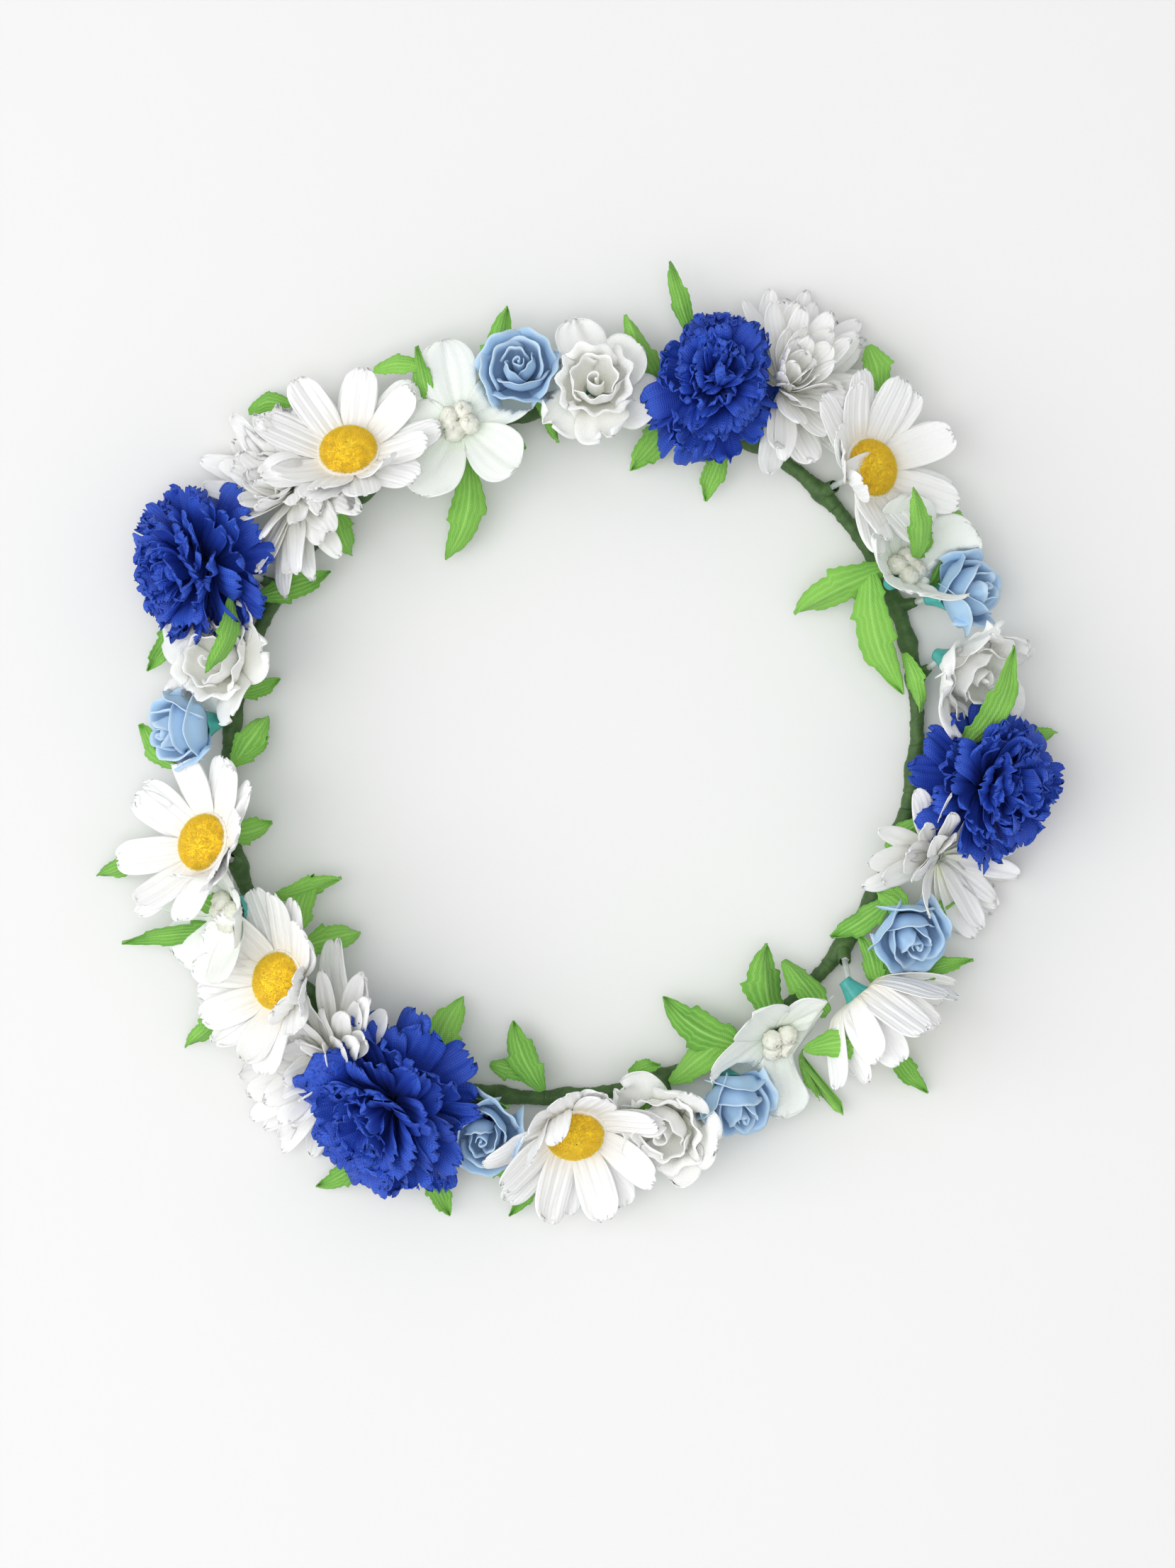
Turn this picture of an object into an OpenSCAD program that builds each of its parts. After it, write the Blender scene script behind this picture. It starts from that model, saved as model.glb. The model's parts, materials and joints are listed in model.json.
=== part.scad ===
// Flower crown: a taped wire hoop carrying twenty-eight fabric flowers on short clear stems.
// The hoop's centre on the table is the origin, +Z is up, and all sizes are millimetres.

/* [Hoop] */
// Half of the hoop's long diameter, to the middle of the wire
hoop_long = 93.6; // [92:0.2:95]
// Half of the hoop's short diameter, to the middle of the wire
hoop_short = 86.9; // [86:0.2:89]
// Direction of the long diameter, in degrees from +X
hoop_turn = 47; // [46:1:48]
// Diameter of the steel wire
wire_d = 1.8; // [1.2:0.1:2.2]
// Diameter over the floral tape
tape_d = 4; // [3.4:0.1:4.2]
// Diameter over the tape bindings that hold the stems
binding_d = 5.6; // [5:0.1:6]
// Length of a binding along the hoop
binding_len = 5; // [3:0.5:5.5]

/* [Stems] */
// Diameter of a clear stem
stem_d = 1.6; // [1.2:0.1:1.8]
// Diameter of the round foot that a daisy's stem turns on
foot_d = 2.6; // [2.2:0.1:2.8]
// Free space round that foot in its tape socket
foot_gap = 0.3; // [0.2:0.05:0.4]
// Width of a calyx where it meets the petals
calyx_d = 7; // [5:0.5:7.6]
// Height of a calyx
calyx_h = 5; // [4:0.5:5.5]

/* [Flowers] */
// Thickness of the petal layers
petal_t = 1; // [0.6:0.1:1.2]
// How steeply a daisy's petals rise, in degrees
daisy_cup = 30; // [20:1:34]
// Width of a daisy's flocked eye
eye_d = 14.4; // [12:0.2:14.4]
// Height of a daisy's eye
eye_h = 4; // [3:0.5:5]
// How high a blue rose's middle stands over the root of its petals
blue_rose_mid = 6.8; // [6.4:0.1:7]
// Width of a white rose's rolled bud
bud_d = 13; // [10:0.5:13]
// Width of one pip in a blossom
pip_d = 4.4; // [3:0.2:4.6]

/* [Leaves] */
// Thickness of a leaf
leaf_t = 0.6; // [0.4:0.1:0.8]
// Width of a leaf as a share of its length
leaf_aspect = 0.42; // [0.3:0.02:0.44]

/* [Hidden] */
$fn = 48;

// Height of the hoop's wire: the bindings rest on the table
hoop_z = binding_d / 2;
// The oval is four quarter turns: two tight ends and two wide sides that meet at 45 degrees.
// Their middles are kept to a tenth, so the quarters meet within a few hundredths
arc_shift = floor(10 * (hoop_long - hoop_short) / (2 - sqrt(2))) / 10;
end_r = hoop_long - arc_shift;
side_r = hoop_short + arc_shift;
// Angle from the long diameter at which an end gives way to a side, seen from the middle
arc_change = atan2(end_r * sin(45), arc_shift + end_r * cos(45));
// Where a stem starts, and how far its binding reaches, measured from the middle of the wire
stem_start = tape_d / 2 + 0.7;
binding_reach = binding_d / 2 + 1.2;
// Where the wire's ends lap, and for how long
lap_angle = 18;
lap_len = 8;
// Where a daisy's round foot has its middle, measured the same way
foot_start = tape_d / 2 + 2.6;
foot_len = 1.2;
// How far a tape socket reaches out from the middle of the wire
socket_reach = foot_start + 1.4;
socket_d = foot_d + 2 * foot_gap + 1.4;
// How far a stem goes into its calyx
stem_in_calyx = 2;
// The small ring of cloth that holds a leaf on its stem
leaf_ring_d = 5;
leaf_ring_gap = 0.2;
// How high a leaf clears the bindings
leaf_lift = 0.6;

// Each flower: angle round the crown, distance from its middle, height, the way it faces,
// its lean from upright, the angle of its stem's foot on the hoop, and its widest radius
daisies = [
    [43, 107, 21, 15, 50, 46, 14],
    [-41, 100, 15, -50, 88, -36, 12],
    [-89.5, 100, 20, -80, 35, -91, 16],
    [-142.5, 97, 21, 170, 40, -137, 13],
    [-166.5, 99, 20, 158, 47, -161, 15],
    [126.5, 97, 21, 100, 33, 129, 13]
];
cornflowers = [
    [69, 102, 20, 69, 18, 70, 12],
    [-4.5, 109, 16, -5, 60, -3, 13],
    [-117.5, 104, 17, -145, 45, -114, 13],
    [154, 108, 17, 195, 50, 151, 13]
];
mums = [
    [60, 108, 10, 52, 60, 60, 13],
    [-16, 98, 11, -32, 66, -14, 11],
    [-127, 100, 11, -170, 66, -126, 13],
    [137, 98, 11, 152, 62, 138, 12]
];
blossoms = [
    [28.5, 97, 16, 45, 40, 30, 9],
    [-54.5, 91, 17, -65, 40, -54, 10],
    [-155, 97, 15, 200, 50, -152, 8.6],
    [109, 89, 19, 109, 12, 110, 12]
];
blue_roses = [
    [22, 110, 14, 10, 55, 24, 8.6],
    [-28.5, 99, 16, -60, 35, -26, 9],
    [-65, 100, 16, -65, 50, -64, 9],
    [-103, 101, 18, -103, 18, -102, 8.8],
    [177, 101, 15.5, 195, 60, 175, 9],
    [98, 99, 18, 97, 15, 98, 8.4]
];
white_roses = [
    [11.5, 104, 16, -30, 50, 12, 10],
    [-76, 100, 17, -130, 30, -75, 9],
    [166, 94, 19, 170, 30, 167, 10],
    [86.5, 94, 21, 88, 15, 85, 9.4]
];
// How far each kind's petals start behind the middle that its row gives
daisy_back = 2;
cornflower_back = 6;
mum_back = 0;
blossom_back = 1;
blue_rose_back = 6;
white_rose_back = 5;

// Each leaf: which flower of its kind it sits under, the way it points, how it rises, its length
cornflower_leaf_rows = [[0, 130, 10, 16], [1, 150, 5, 15], [2, 70, 8, 18], [3, -40, 5, 16]];
mum_leaf_rows = [[0, 215, 5, 14], [1, -150, 5, 14], [2, 40, 5, 14], [3, -60, 5, 14]];
blossom_leaf_rows = [[0, 205, 5, 18], [1, 110, 8, 18], [2, 20, 8, 16], [3, -80, 8, 16]];
white_rose_leaf_rows = [[0, 170, 5, 14], [1, 110, 5, 12], [2, -10, 5, 12], [3, 250, 5, 12]];
blue_rose_sepal_rows = [[0, 185, 5, 12], [1, 160, 5, 12], [2, 120, 5, 12], [3, 60, 5, 12],
                        [4, -20, 5, 12], [5, 260, 5, 10]];

function polar(angle, distance, height) = [distance * cos(angle), distance * sin(angle), height];
// Which half turn an angle lies in, and the angle left over from the long diameter
function half_turn(angle) = round((angle - hoop_turn) / 180) * 180;
function left_over(angle) = angle - hoop_turn - half_turn(angle);
function at_an_end(angle) = abs(left_over(angle)) < arc_change;
// Direction square to the hoop at an angle seen from the middle
function hoop_normal(angle) =
    let (rest = left_over(angle), square = 90 * sign(rest), across = square - rest)
    hoop_turn + half_turn(angle) + (at_an_end(angle)
        ? rest + asin(arc_shift * sin(rest) / end_r)
        : square - across + asin(arc_shift * sin(across) / side_r));
function arc_radius(angle) = at_an_end(angle) ? end_r : side_r;
function arc_middle(angle) = at_an_end(angle)
    ? polar(hoop_turn + half_turn(angle), arc_shift, hoop_z)
    : polar(hoop_turn + half_turn(angle) + 90 * sign(left_over(angle)), -arc_shift, hoop_z);
function on_hoop(angle) = arc_middle(angle) + polar(hoop_normal(angle), arc_radius(angle), 0);

function facing(row) = [sin(row[4]) * cos(row[3]), sin(row[4]) * sin(row[3]), cos(row[4])];
function middle(row) = polar(row[0], row[1], row[2]);
// The point of a flower's calyx where its stem ends
function stem_end(row, back) =
    middle(row) - facing(row) * (back + petal_t + calyx_h - stem_in_calyx);
function unit(v) = v / norm(v);
function stem_way(row, back) = unit(stem_end(row, back) - on_hoop(row[5]));

module rod(from, to, d) {
    way = to - from;
    translate(from)
        rotate([0, acos(way.z / norm(way)), atan2(way.y, way.x)])
            cylinder(h = norm(way), d = d);
}

module place(row, back) {
    translate(middle(row))
        rotate([0, row[4], row[3]])
            translate([0, 0, -back])
                children();
}

// A stretch of tube along an arc, from one direction to another
module arc_tube(arc_centre, radius, from, to, outer, inner) {
    translate(arc_centre)
        rotate([0, 0, from])
            rotate_extrude(angle = to - from)
                translate([radius, 0])
                    difference() {
                        circle(d = outer);
                        if (inner > 0) circle(d = inner);
                    }
}

module hoop_tube(outer, inner) {
    translate([0, 0, hoop_z])
        rotate([0, 0, hoop_turn])
            for (side = [0:90:270]) {
                tight = side % 180 == 0;
                arc_tube(polar(side, tight ? arc_shift : -arc_shift, 0), tight ? end_r : side_r,
                         side - 45, side + 45, outer, inner);
            }
}

// A short stretch of tube round the hoop, centred on an angle
module hoop_stretch(angle, length, outer, inner) {
    half = length / 2 / arc_radius(angle) * 180 / PI;
    arc_tube(arc_middle(angle), arc_radius(angle),
             hoop_normal(angle) - half, hoop_normal(angle) + half, outer, inner);
}

module hoop_wire() {
    color("silver")
        hoop_tube(wire_d, 0);
}

module hoop_tape() {
    color("darkolivegreen")
        hoop_tube(tape_d, wire_d);
}

// The thick place where the wire's two ends are lapped and bound
module tape_overlap() {
    color("olivedrab")
        hoop_stretch(lap_angle, lap_len, binding_d, tape_d);
}

// A daisy's binding is a socket that its stem's round foot turns in
module daisy_binding(row) {
    start = on_hoop(row[5]);
    way = stem_way(row, daisy_back);
    difference() {
        union() {
            hoop_stretch(row[5], binding_len, binding_d, 0);
            rod(start, start + way * socket_reach, socket_d);
        }
        hoop_stretch(row[5], binding_len + 2, tape_d, 0);
        translate(start + way * foot_start) sphere(d = foot_d + 2 * foot_gap);
        rod(start + way * foot_start, start + way * (socket_reach + 1), foot_d + 2 * foot_gap);
    }
}

module stem_binding(row, back) {
    start = on_hoop(row[5]);
    difference() {
        union() {
            hoop_stretch(row[5], binding_len, binding_d, 0);
            rod(start, start + stem_way(row, back) * binding_reach, stem_d + 1.6);
        }
        hoop_stretch(row[5], binding_len + 2, tape_d, 0);
        fixed_stem(row, back);
    }
}

module stem_bindings() {
    color("olivedrab") {
        for (row = daisies) daisy_binding(row);
        for (row = cornflowers) stem_binding(row, cornflower_back);
        for (row = mums) stem_binding(row, mum_back);
        for (row = blossoms) stem_binding(row, blossom_back);
        for (row = blue_roses) stem_binding(row, blue_rose_back);
        for (row = white_roses) stem_binding(row, white_rose_back);
    }
}

module fixed_stem(row, back) {
    rod(on_hoop(row[5]) + stem_way(row, back) * stem_start, stem_end(row, back), stem_d);
}

module flower_stems() {
    color("gainsboro") {
        for (row = cornflowers) fixed_stem(row, cornflower_back);
        for (row = mums) fixed_stem(row, mum_back);
        for (row = blossoms) fixed_stem(row, blossom_back);
        for (row = blue_roses) fixed_stem(row, blue_rose_back);
        for (row = white_roses) fixed_stem(row, white_rose_back);
    }
}

// A daisy's stem stands on a round foot whose axis runs along the hoop
module daisy_stem(row) {
    foot = on_hoop(row[5]) + stem_way(row, daisy_back) * foot_start;
    along = polar(hoop_normal(row[5]) + 90, foot_len / 2, 0);
    color("gainsboro") {
        rod(foot - along, foot + along, foot_d);
        rod(foot, stem_end(row, daisy_back), stem_d);
    }
}

module calyx_cone(row, back) {
    place(row, back)
        translate([0, 0, -petal_t - calyx_h])
            cylinder(h = calyx_h, d1 = stem_d + 1.6, d2 = calyx_d);
}

module fixed_calyx(row, back) {
    difference() {
        calyx_cone(row, back);
        fixed_stem(row, back);
    }
}

module head_calyxes() {
    color("darkcyan") {
        for (row = cornflowers) fixed_calyx(row, cornflower_back);
        for (row = mums) fixed_calyx(row, mum_back);
        for (row = blossoms) fixed_calyx(row, blossom_back);
        for (row = blue_roses) fixed_calyx(row, blue_rose_back);
        for (row = white_roses) fixed_calyx(row, white_rose_back);
    }
}

module daisy_calyx(row) {
    color("darkcyan")
        difference() {
            calyx_cone(row, daisy_back);
            daisy_stem(row);
        }
}

// A dish of petals: a flat floor, then a rim that rises at an angle out to its widest radius
module dish(floor_r, rim_r, rise) {
    rim_z = (rim_r - floor_r) * tan(rise);
    rotate_extrude()
        polygon([[0, -petal_t], [floor_r, -petal_t], [rim_r, rim_z - petal_t],
                 [rim_r, rim_z], [floor_r, 0], [0, 0]]);
}

module daisy_petals(row) {
    color("white")
        place(row, daisy_back)
            dish(eye_d / 2 + 0.3, row[6], daisy_cup);
}

module daisy_eye(row) {
    ball_r = (eye_d * eye_d / 4 + eye_h * eye_h) / (2 * eye_h);
    color("gold")
        place(row, daisy_back)
            intersection() {
                translate([0, 0, eye_h - ball_r]) sphere(r = ball_r);
                cylinder(h = eye_h + 1, d = eye_d);
            }
}

module cornflower(row) {
    wide = row[6];
    color("royalblue")
        place(row, cornflower_back)
            rotate_extrude()
                polygon([[0, -petal_t], [calyx_d / 2, -petal_t], [wide * 0.7, 2], [wide, 6],
                         [wide * 0.9, 9], [wide * 0.5, 11], [0, 11]]);
}

module mum(row) {
    wide = row[6];
    color("ivory")
        place(row, mum_back)
            rotate_extrude()
                polygon([[0, -petal_t], [calyx_d / 2, -petal_t], [wide * 0.7, 5], [wide, 14],
                         [wide * 0.7, 18], [wide * 0.3, 12], [0, 12]]);
}

module blossom(row) {
    color("honeydew")
        place(row, blossom_back)
            dish(calyx_d / 2 + 1.5, row[6], 18);
}

module blossom_pips() {
    color("lemonchiffon")
        for (row = blossoms)
            place(row, blossom_back)
                for (turn = [0:90:270])
                    rotate([0, 0, turn])
                        translate([pip_d / 2 + 0.4, 0, 0]) {
                            cylinder(h = pip_d / 2, d = pip_d);
                            translate([0, 0, pip_d / 2]) sphere(d = pip_d);
                        }
}

module blue_rose(row) {
    color("lightsteelblue")
        place(row, blue_rose_back)
            intersection() {
                translate([0, 0, blue_rose_mid]) sphere(r = row[6]);
                translate([0, 0, -petal_t]) cylinder(h = 13, r = row[6]);
            }
}

module white_rose(row) {
    color("ivory")
        place(row, white_rose_back)
            dish(bud_d / 2 + 0.3, row[6], 32);
}

module white_rose_buds() {
    color("lemonchiffon")
        for (row = white_roses)
            place(row, white_rose_back)
                rotate_extrude()
                    polygon([[0, 0], [bud_d * 0.36, 0], [bud_d / 2, 4], [bud_d * 0.4, 9], [0, 10]]);
}

// A pointed leaf lying along +X, with a tooth on each side
module leaf_outline(length) {
    wide = length * leaf_aspect / 2;
    polygon([[0, -1.7], [length * 0.3, -wide * 0.8], [length * 0.45, -wide], [length * 0.5, -wide * 0.7],
             [length * 0.75, -wide * 0.6], [length, 0], [length * 0.75, wide * 0.6],
             [length * 0.5, wide * 0.7], [length * 0.45, wide], [length * 0.3, wide * 0.8], [0, 1.7]]);
}

// A leaf and the ring that holds it on its stem, just above the stem's binding
module leaf(row, back, reach, leaf_row) {
    way = stem_way(row, back);
    seat = on_hoop(row[5]) + way * (reach + leaf_ring_gap);
    difference() {
        union() {
            rod(seat, seat + way * leaf_t, leaf_ring_d);
            translate([seat.x, seat.y, max(seat.z, binding_d + leaf_lift)])
                rotate([0, -leaf_row[2], leaf_row[1]])
                    linear_extrude(leaf_t)
                        leaf_outline(leaf_row[3]);
        }
        rod(seat - way, seat + way * 2, stem_d);
        rod(on_hoop(row[5]), seat - way * leaf_ring_gap / 2, socket_d);
    }
}

module leaves(rows, back, leaf_rows, reach) {
    color("yellowgreen")
        for (leaf_row = leaf_rows) leaf(rows[leaf_row[0]], back, reach, leaf_row);
}

hoop_wire();
hoop_tape();
tape_overlap();
stem_bindings();
flower_stems();
head_calyxes();
for (i = [1:6]) {
    daisy_stem(daisies[i - 1]);
    daisy_calyx(daisies[i - 1]);
    daisy_petals(daisies[i - 1]);
    daisy_eye(daisies[i - 1]);
    blue_rose(blue_roses[i - 1]);
}
for (i = [1:4]) {
    cornflower(cornflowers[i - 1]);
    mum(mums[i - 1]);
    blossom(blossoms[i - 1]);
    white_rose(white_roses[i - 1]);
}
blossom_pips();
white_rose_buds();
leaves(cornflowers, cornflower_back, cornflower_leaf_rows, binding_reach);  // cornflower_leaves
leaves(mums, mum_back, mum_leaf_rows, binding_reach);  // mum_leaves
leaves(blossoms, blossom_back, blossom_leaf_rows, binding_reach);  // blossom_leaves
leaves(white_roses, white_rose_back, white_rose_leaf_rows, binding_reach);  // white_rose_leaves
leaves(blue_roses, blue_rose_back, blue_rose_sepal_rows, binding_reach);  // blue_rose_sepals
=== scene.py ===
import json
import math

import bpy
import numpy as np
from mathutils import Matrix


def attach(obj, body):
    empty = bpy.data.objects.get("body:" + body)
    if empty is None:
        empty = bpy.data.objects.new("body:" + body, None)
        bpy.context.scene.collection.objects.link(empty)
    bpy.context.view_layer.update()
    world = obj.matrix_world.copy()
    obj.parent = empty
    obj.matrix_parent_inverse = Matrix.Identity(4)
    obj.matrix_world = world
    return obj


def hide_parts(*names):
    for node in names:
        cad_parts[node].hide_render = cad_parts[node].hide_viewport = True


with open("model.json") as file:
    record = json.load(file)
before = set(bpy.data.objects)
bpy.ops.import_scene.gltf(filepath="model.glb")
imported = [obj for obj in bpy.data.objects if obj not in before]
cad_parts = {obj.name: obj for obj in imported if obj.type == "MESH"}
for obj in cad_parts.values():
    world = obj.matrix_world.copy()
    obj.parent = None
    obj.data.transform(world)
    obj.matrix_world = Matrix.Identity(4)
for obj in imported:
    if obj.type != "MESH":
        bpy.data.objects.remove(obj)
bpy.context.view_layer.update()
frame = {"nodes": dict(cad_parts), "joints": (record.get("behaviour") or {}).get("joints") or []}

# Shapes are worked out in millimetres as whole numpy arrays, and become metres in the mesh.
millimetre = 0.001
dice = np.random.default_rng(28)
bodyRoot = "crown"


# ---------------------------------------------------------------- where the flowers stand

# Middle and axis of a CAD solid of revolution: its volume's centre, and the direction in which its
# second moment differs from the other two, pointing out and up from the crown.
def headPlace(node, petalFloor=1.0):
    mesh = frame["nodes"][node].data
    points = np.empty(len(mesh.vertices) * 3)
    mesh.vertices.foreach_get("co", points)
    points = points.reshape(-1, 3) / millimetre
    mesh.calc_loop_triangles()
    corners = np.empty(len(mesh.loop_triangles) * 3, dtype=np.int32)
    mesh.loop_triangles.foreach_get("vertices", corners)
    a, b, c = (points[corners.reshape(-1, 3)[:, i]] for i in range(3))
    volume = np.einsum("ij,ij->i", a, np.cross(b, c)) / 6
    centre = (volume[:, None] * (a + b + c)).sum(0) / 4 / volume.sum()
    a, b, c = a - centre, b - centre, c - centre
    volume = np.einsum("ij,ij->i", a, np.cross(b, c)) / 6
    total = a + b + c
    spread = sum(np.einsum("i,ij,ik->jk", volume, p, p) for p in (a, b, c, total)) / 20
    size, ways = np.linalg.eigh(spread)
    axis = ways[:, 0] if size[1] - size[0] > size[2] - size[1] else ways[:, 2]
    outward = np.array([centre[0], centre[1], 0]) / np.hypot(centre[0], centre[1])
    if axis @ (outward * 0.6 + np.array([0, 0, 1.0])) < 0:
        axis = -axis
    root = centre + axis * (((points - centre) @ axis).min() + petalFloor)
    return root, axis


# How much the cloth of a head turns from its stiff core's axis towards straight up
faceUp = {"mum_1": 0.45, "mum_2": 0.30, "mum_3": 0.45, "mum_4": 0.45, "daisy_petals_1": 0.30,
          "daisy_petals_4": 0.10, "daisy_petals_5": 0.15, "cornflower_2": 0.2, "cornflower_3": 0.15}


# A head's own frame: its root point and three directions, the first pointing up the lean.
def headFrame(node):
    root, axis = headPlace(node)
    axis = axis * (1 - faceUp.get(node, 0)) + np.array([0, 0, faceUp.get(node, 0)])
    axis = axis / np.linalg.norm(axis)
    up = np.array([0, 0, 1.0]) - axis * axis[2]
    up = up / max(np.linalg.norm(up), 1e-6)
    return root, np.stack([up, np.cross(axis, up), axis])


heads = {}
for kind, count in (("daisy_petals", 6), ("cornflower", 4), ("mum", 4), ("blossom", 4),
                    ("blue_rose", 6), ("white_rose", 4)):
    for number in range(1, count + 1):
        heads[f"{kind}_{number}"] = headFrame(f"{kind}_{number}")
print("placed", len(heads), "heads")

# The solid heart of each kind of flower, which other flowers' petals bend round: height, radius.
hearts = {"daisy_petals": (1, 7.5), "cornflower": (9, 12.5), "mum": (8, 9), "blossom": (2, 4.5),
          "blue_rose": (6.5, 9), "white_rose": (4.5, 7.5)}
floorLift = {"lowest": 0.35, "soft": 2.5}


# A daisy's frame at both ends and the middle of its nod: each turned about the joint's line by the
# rotation formula, cosine times the point, sine times the cross product, the rest along the line.
def nodFrames(name):
    root, ways = heads[name]
    joint = next(row for row in frame["joints"] if row["name"] == f"daisy_{name[-1]}_nod")
    pivot = np.array(joint["pos_m"]) / millimetre
    x, y, z = joint["axis"]
    cross = np.array([[0, -z, y], [z, 0, -x], [-y, x, 0]])
    turns = [np.eye(3) + np.sin(angle) * cross + (1 - np.cos(angle)) * cross @ cross
             for angle in np.radians([0, joint["range_deg"][0], joint["range_deg"][1]])]
    return pivot, [(pivot + turn @ (root - pivot), ways @ turn.T) for turn in turns]


nods = {name: nodFrames(name) for name in heads if name.startswith("daisy")}
tuck = {"gap": 1.6, "slope": 0.2, "full": 22, "none": 26, "top": 18, "stem": 4.5,
        "beside": [("blossom_3", "daisy_petals_4")]}


# Long petals tuck under a daisy wherever it nods: in each of its frames, what stands above its petals
# is pressed down to a gap under them, fully inside one radius from its axis and not at all past another.
def tuckUnder(points, owner):
    for name, (pivot, frames) in nods.items():
        if name == owner or (owner, name) in tuck["beside"]:
            continue
        for root, ways in frames:
            local = (points - root) @ ways.T
            out = np.hypot(local[:, 0], local[:, 1])
            ceiling = -tuck["gap"] + tuck["slope"] * np.maximum(out - 8, 0)
            inside = np.clip((tuck["none"] - out) / (tuck["none"] - tuck["full"]), 0, 1) * (local[:, 2] < tuck["top"])
            over = np.maximum(local[:, 2] - ceiling, 0) * inside
            points = points - over[:, None] * ways[2]
    return points


# Points near another flower's heart move straight out of it, and points near the table level out
# just above it: below the soft height, height falls off exponentially to the lowest. Loose petals of
# mums, blossoms and white roses drop under a round flower instead.
def settle(points, owner):
    shape = points.shape
    points = points.reshape(-1, 3).copy()
    if owner.startswith(("mum", "blossom_2", "blossom_3", "blossom_4")):
        points = tuckUnder(points, owner)
    for name, (root, ways) in heads.items():
        if name == owner:
            continue
        height, radius = hearts[name[:-2]]
        middle = root + ways[2] * height
        gap = points - middle
        distance = np.linalg.norm(gap, axis=1)
        inside = distance < radius
        if owner.startswith(("mum", "blossom", "white_rose")) and not name.startswith(("daisy", "mum")):
            wide = radius * 1.25
            inside = distance < wide
            beside = np.hypot(gap[inside, 0], gap[inside, 1])
            points[inside, 2] = middle[2] - np.sqrt(np.maximum(wide ** 2 - beside ** 2, 0))
            continue
        push = (radius - distance[inside]) / np.maximum(distance[inside], 1e-3)
        points[inside] += gap[inside] * push[:, None]
    low = points[:, 2] < floorLift["soft"]
    room = floorLift["soft"] - floorLift["lowest"]
    points[low, 2] = floorLift["lowest"] + room * np.exp((points[low, 2] - floorLift["soft"]) / room)
    return points.reshape(shape)


# Petals that would stand mostly inside a neighbour are left out, as they couldn't be seen: a petal
# stays if less than a set share of its points lies in any other round flower.
def thinned(block, owner, share=0.13):
    root, ways = heads[owner]
    points = block["points"] @ ways + root
    keep = np.ones(len(points), dtype=bool)
    for name, (other, otherWays) in heads.items():
        if name == owner or name.startswith(("daisy", "mum", "blossom")):
            continue
        height, radius = hearts[name[:-2]]
        inside = np.linalg.norm(points - other - otherWays[2] * height, axis=-1) < radius * 1.3
        keep &= inside.mean(axis=(1, 2)) < share
    for pivot, frames in nods.values():
        for top, ways in frames:
            line = top - pivot
            share = np.clip((points - pivot) @ line / (line @ line), 0, 1.8)[..., None]
            keep &= (np.linalg.norm(points - pivot - share * line, axis=-1) > tuck["stem"]).all(axis=(1, 2))
    return dict(block, points=block["points"][keep], map=block["map"][keep], tone=block["tone"][keep])


# Local points turned into the crown's frame and settled among the other flowers.
def placed(points, owner):
    root, ways = heads[owner]
    return settle(points @ ways + root, owner)


# ---------------------------------------------------------------- meshes from grids

# A mesh from blocks of grids. A block is a dictionary: points (pieces, rows, columns, 3) in mm,
# map (pieces, rows, columns, 2) in mm, along (rows) from 0 to 1, tone (pieces), and wrap for tubes.
def gridPiece(name, blocks, material, body, nodes=(), thickness=None):
    points, quads, maps, along, tone = [], [], [], [], []
    start = 0
    for block in blocks:
        grid = block["points"]
        pieces, rows, columns = grid.shape[:3]
        index = start + np.arange(pieces * rows * columns).reshape(pieces, rows, columns)
        if block.get("wrap"):
            index = np.concatenate([index, index[:, :, :1]], axis=2)
        quad = np.stack([index[:, :-1, :-1], index[:, :-1, 1:], index[:, 1:, 1:], index[:, 1:, :-1]], -1)
        if block.get("flip"):
            quad = quad[..., ::-1]
        quads.append(quad.reshape(-1, 4))
        points.append(grid.reshape(-1, 3))
        maps.append(block["map"].reshape(-1, 2))
        shape = (pieces, rows, columns)
        along.append(np.broadcast_to(block["along"][None, :, None], shape).reshape(-1))
        tone.append(np.broadcast_to(block["tone"][:, None, None], shape).reshape(-1))
        start += pieces * rows * columns
    points, quads, maps = np.concatenate(points), np.concatenate(quads), np.concatenate(maps)
    mesh = bpy.data.meshes.new(name)
    mesh.vertices.add(len(points))
    mesh.vertices.foreach_set("co", (points * millimetre).astype(np.float32).reshape(-1))
    mesh.loops.add(len(quads) * 4)
    mesh.loops.foreach_set("vertex_index", quads.reshape(-1).astype(np.int32))
    mesh.polygons.add(len(quads))
    mesh.polygons.foreach_set("loop_start", np.arange(0, len(quads) * 4, 4, dtype=np.int32))
    mesh.update(calc_edges=True)
    mesh.polygons.foreach_set("use_smooth", np.ones(len(quads), dtype=bool))
    layer = mesh.uv_layers.new(name="clothMap")
    layer.data.foreach_set("uv", maps[quads.reshape(-1)].astype(np.float32).reshape(-1))
    for label, values in (("along", along), ("tone", tone)):
        field = mesh.attributes.new(label, "FLOAT", "POINT")
        field.data.foreach_set("value", np.concatenate(values).astype(np.float32))
    mesh.validate()
    piece = bpy.data.objects.new(name, mesh)
    bpy.context.scene.collection.objects.link(piece)
    mesh.materials.append(material)
    if thickness:
        wall = piece.modifiers.new("clothThickness", "SOLIDIFY")
        wall.thickness = thickness * millimetre
        wall.offset = 0
    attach(piece, body)
    if nodes:
        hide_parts(*nodes)
    return piece


# Random numbers spread evenly about a value.
def around(value, spread, count):
    return value + spread * dice.uniform(-1, 1, count)


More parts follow.
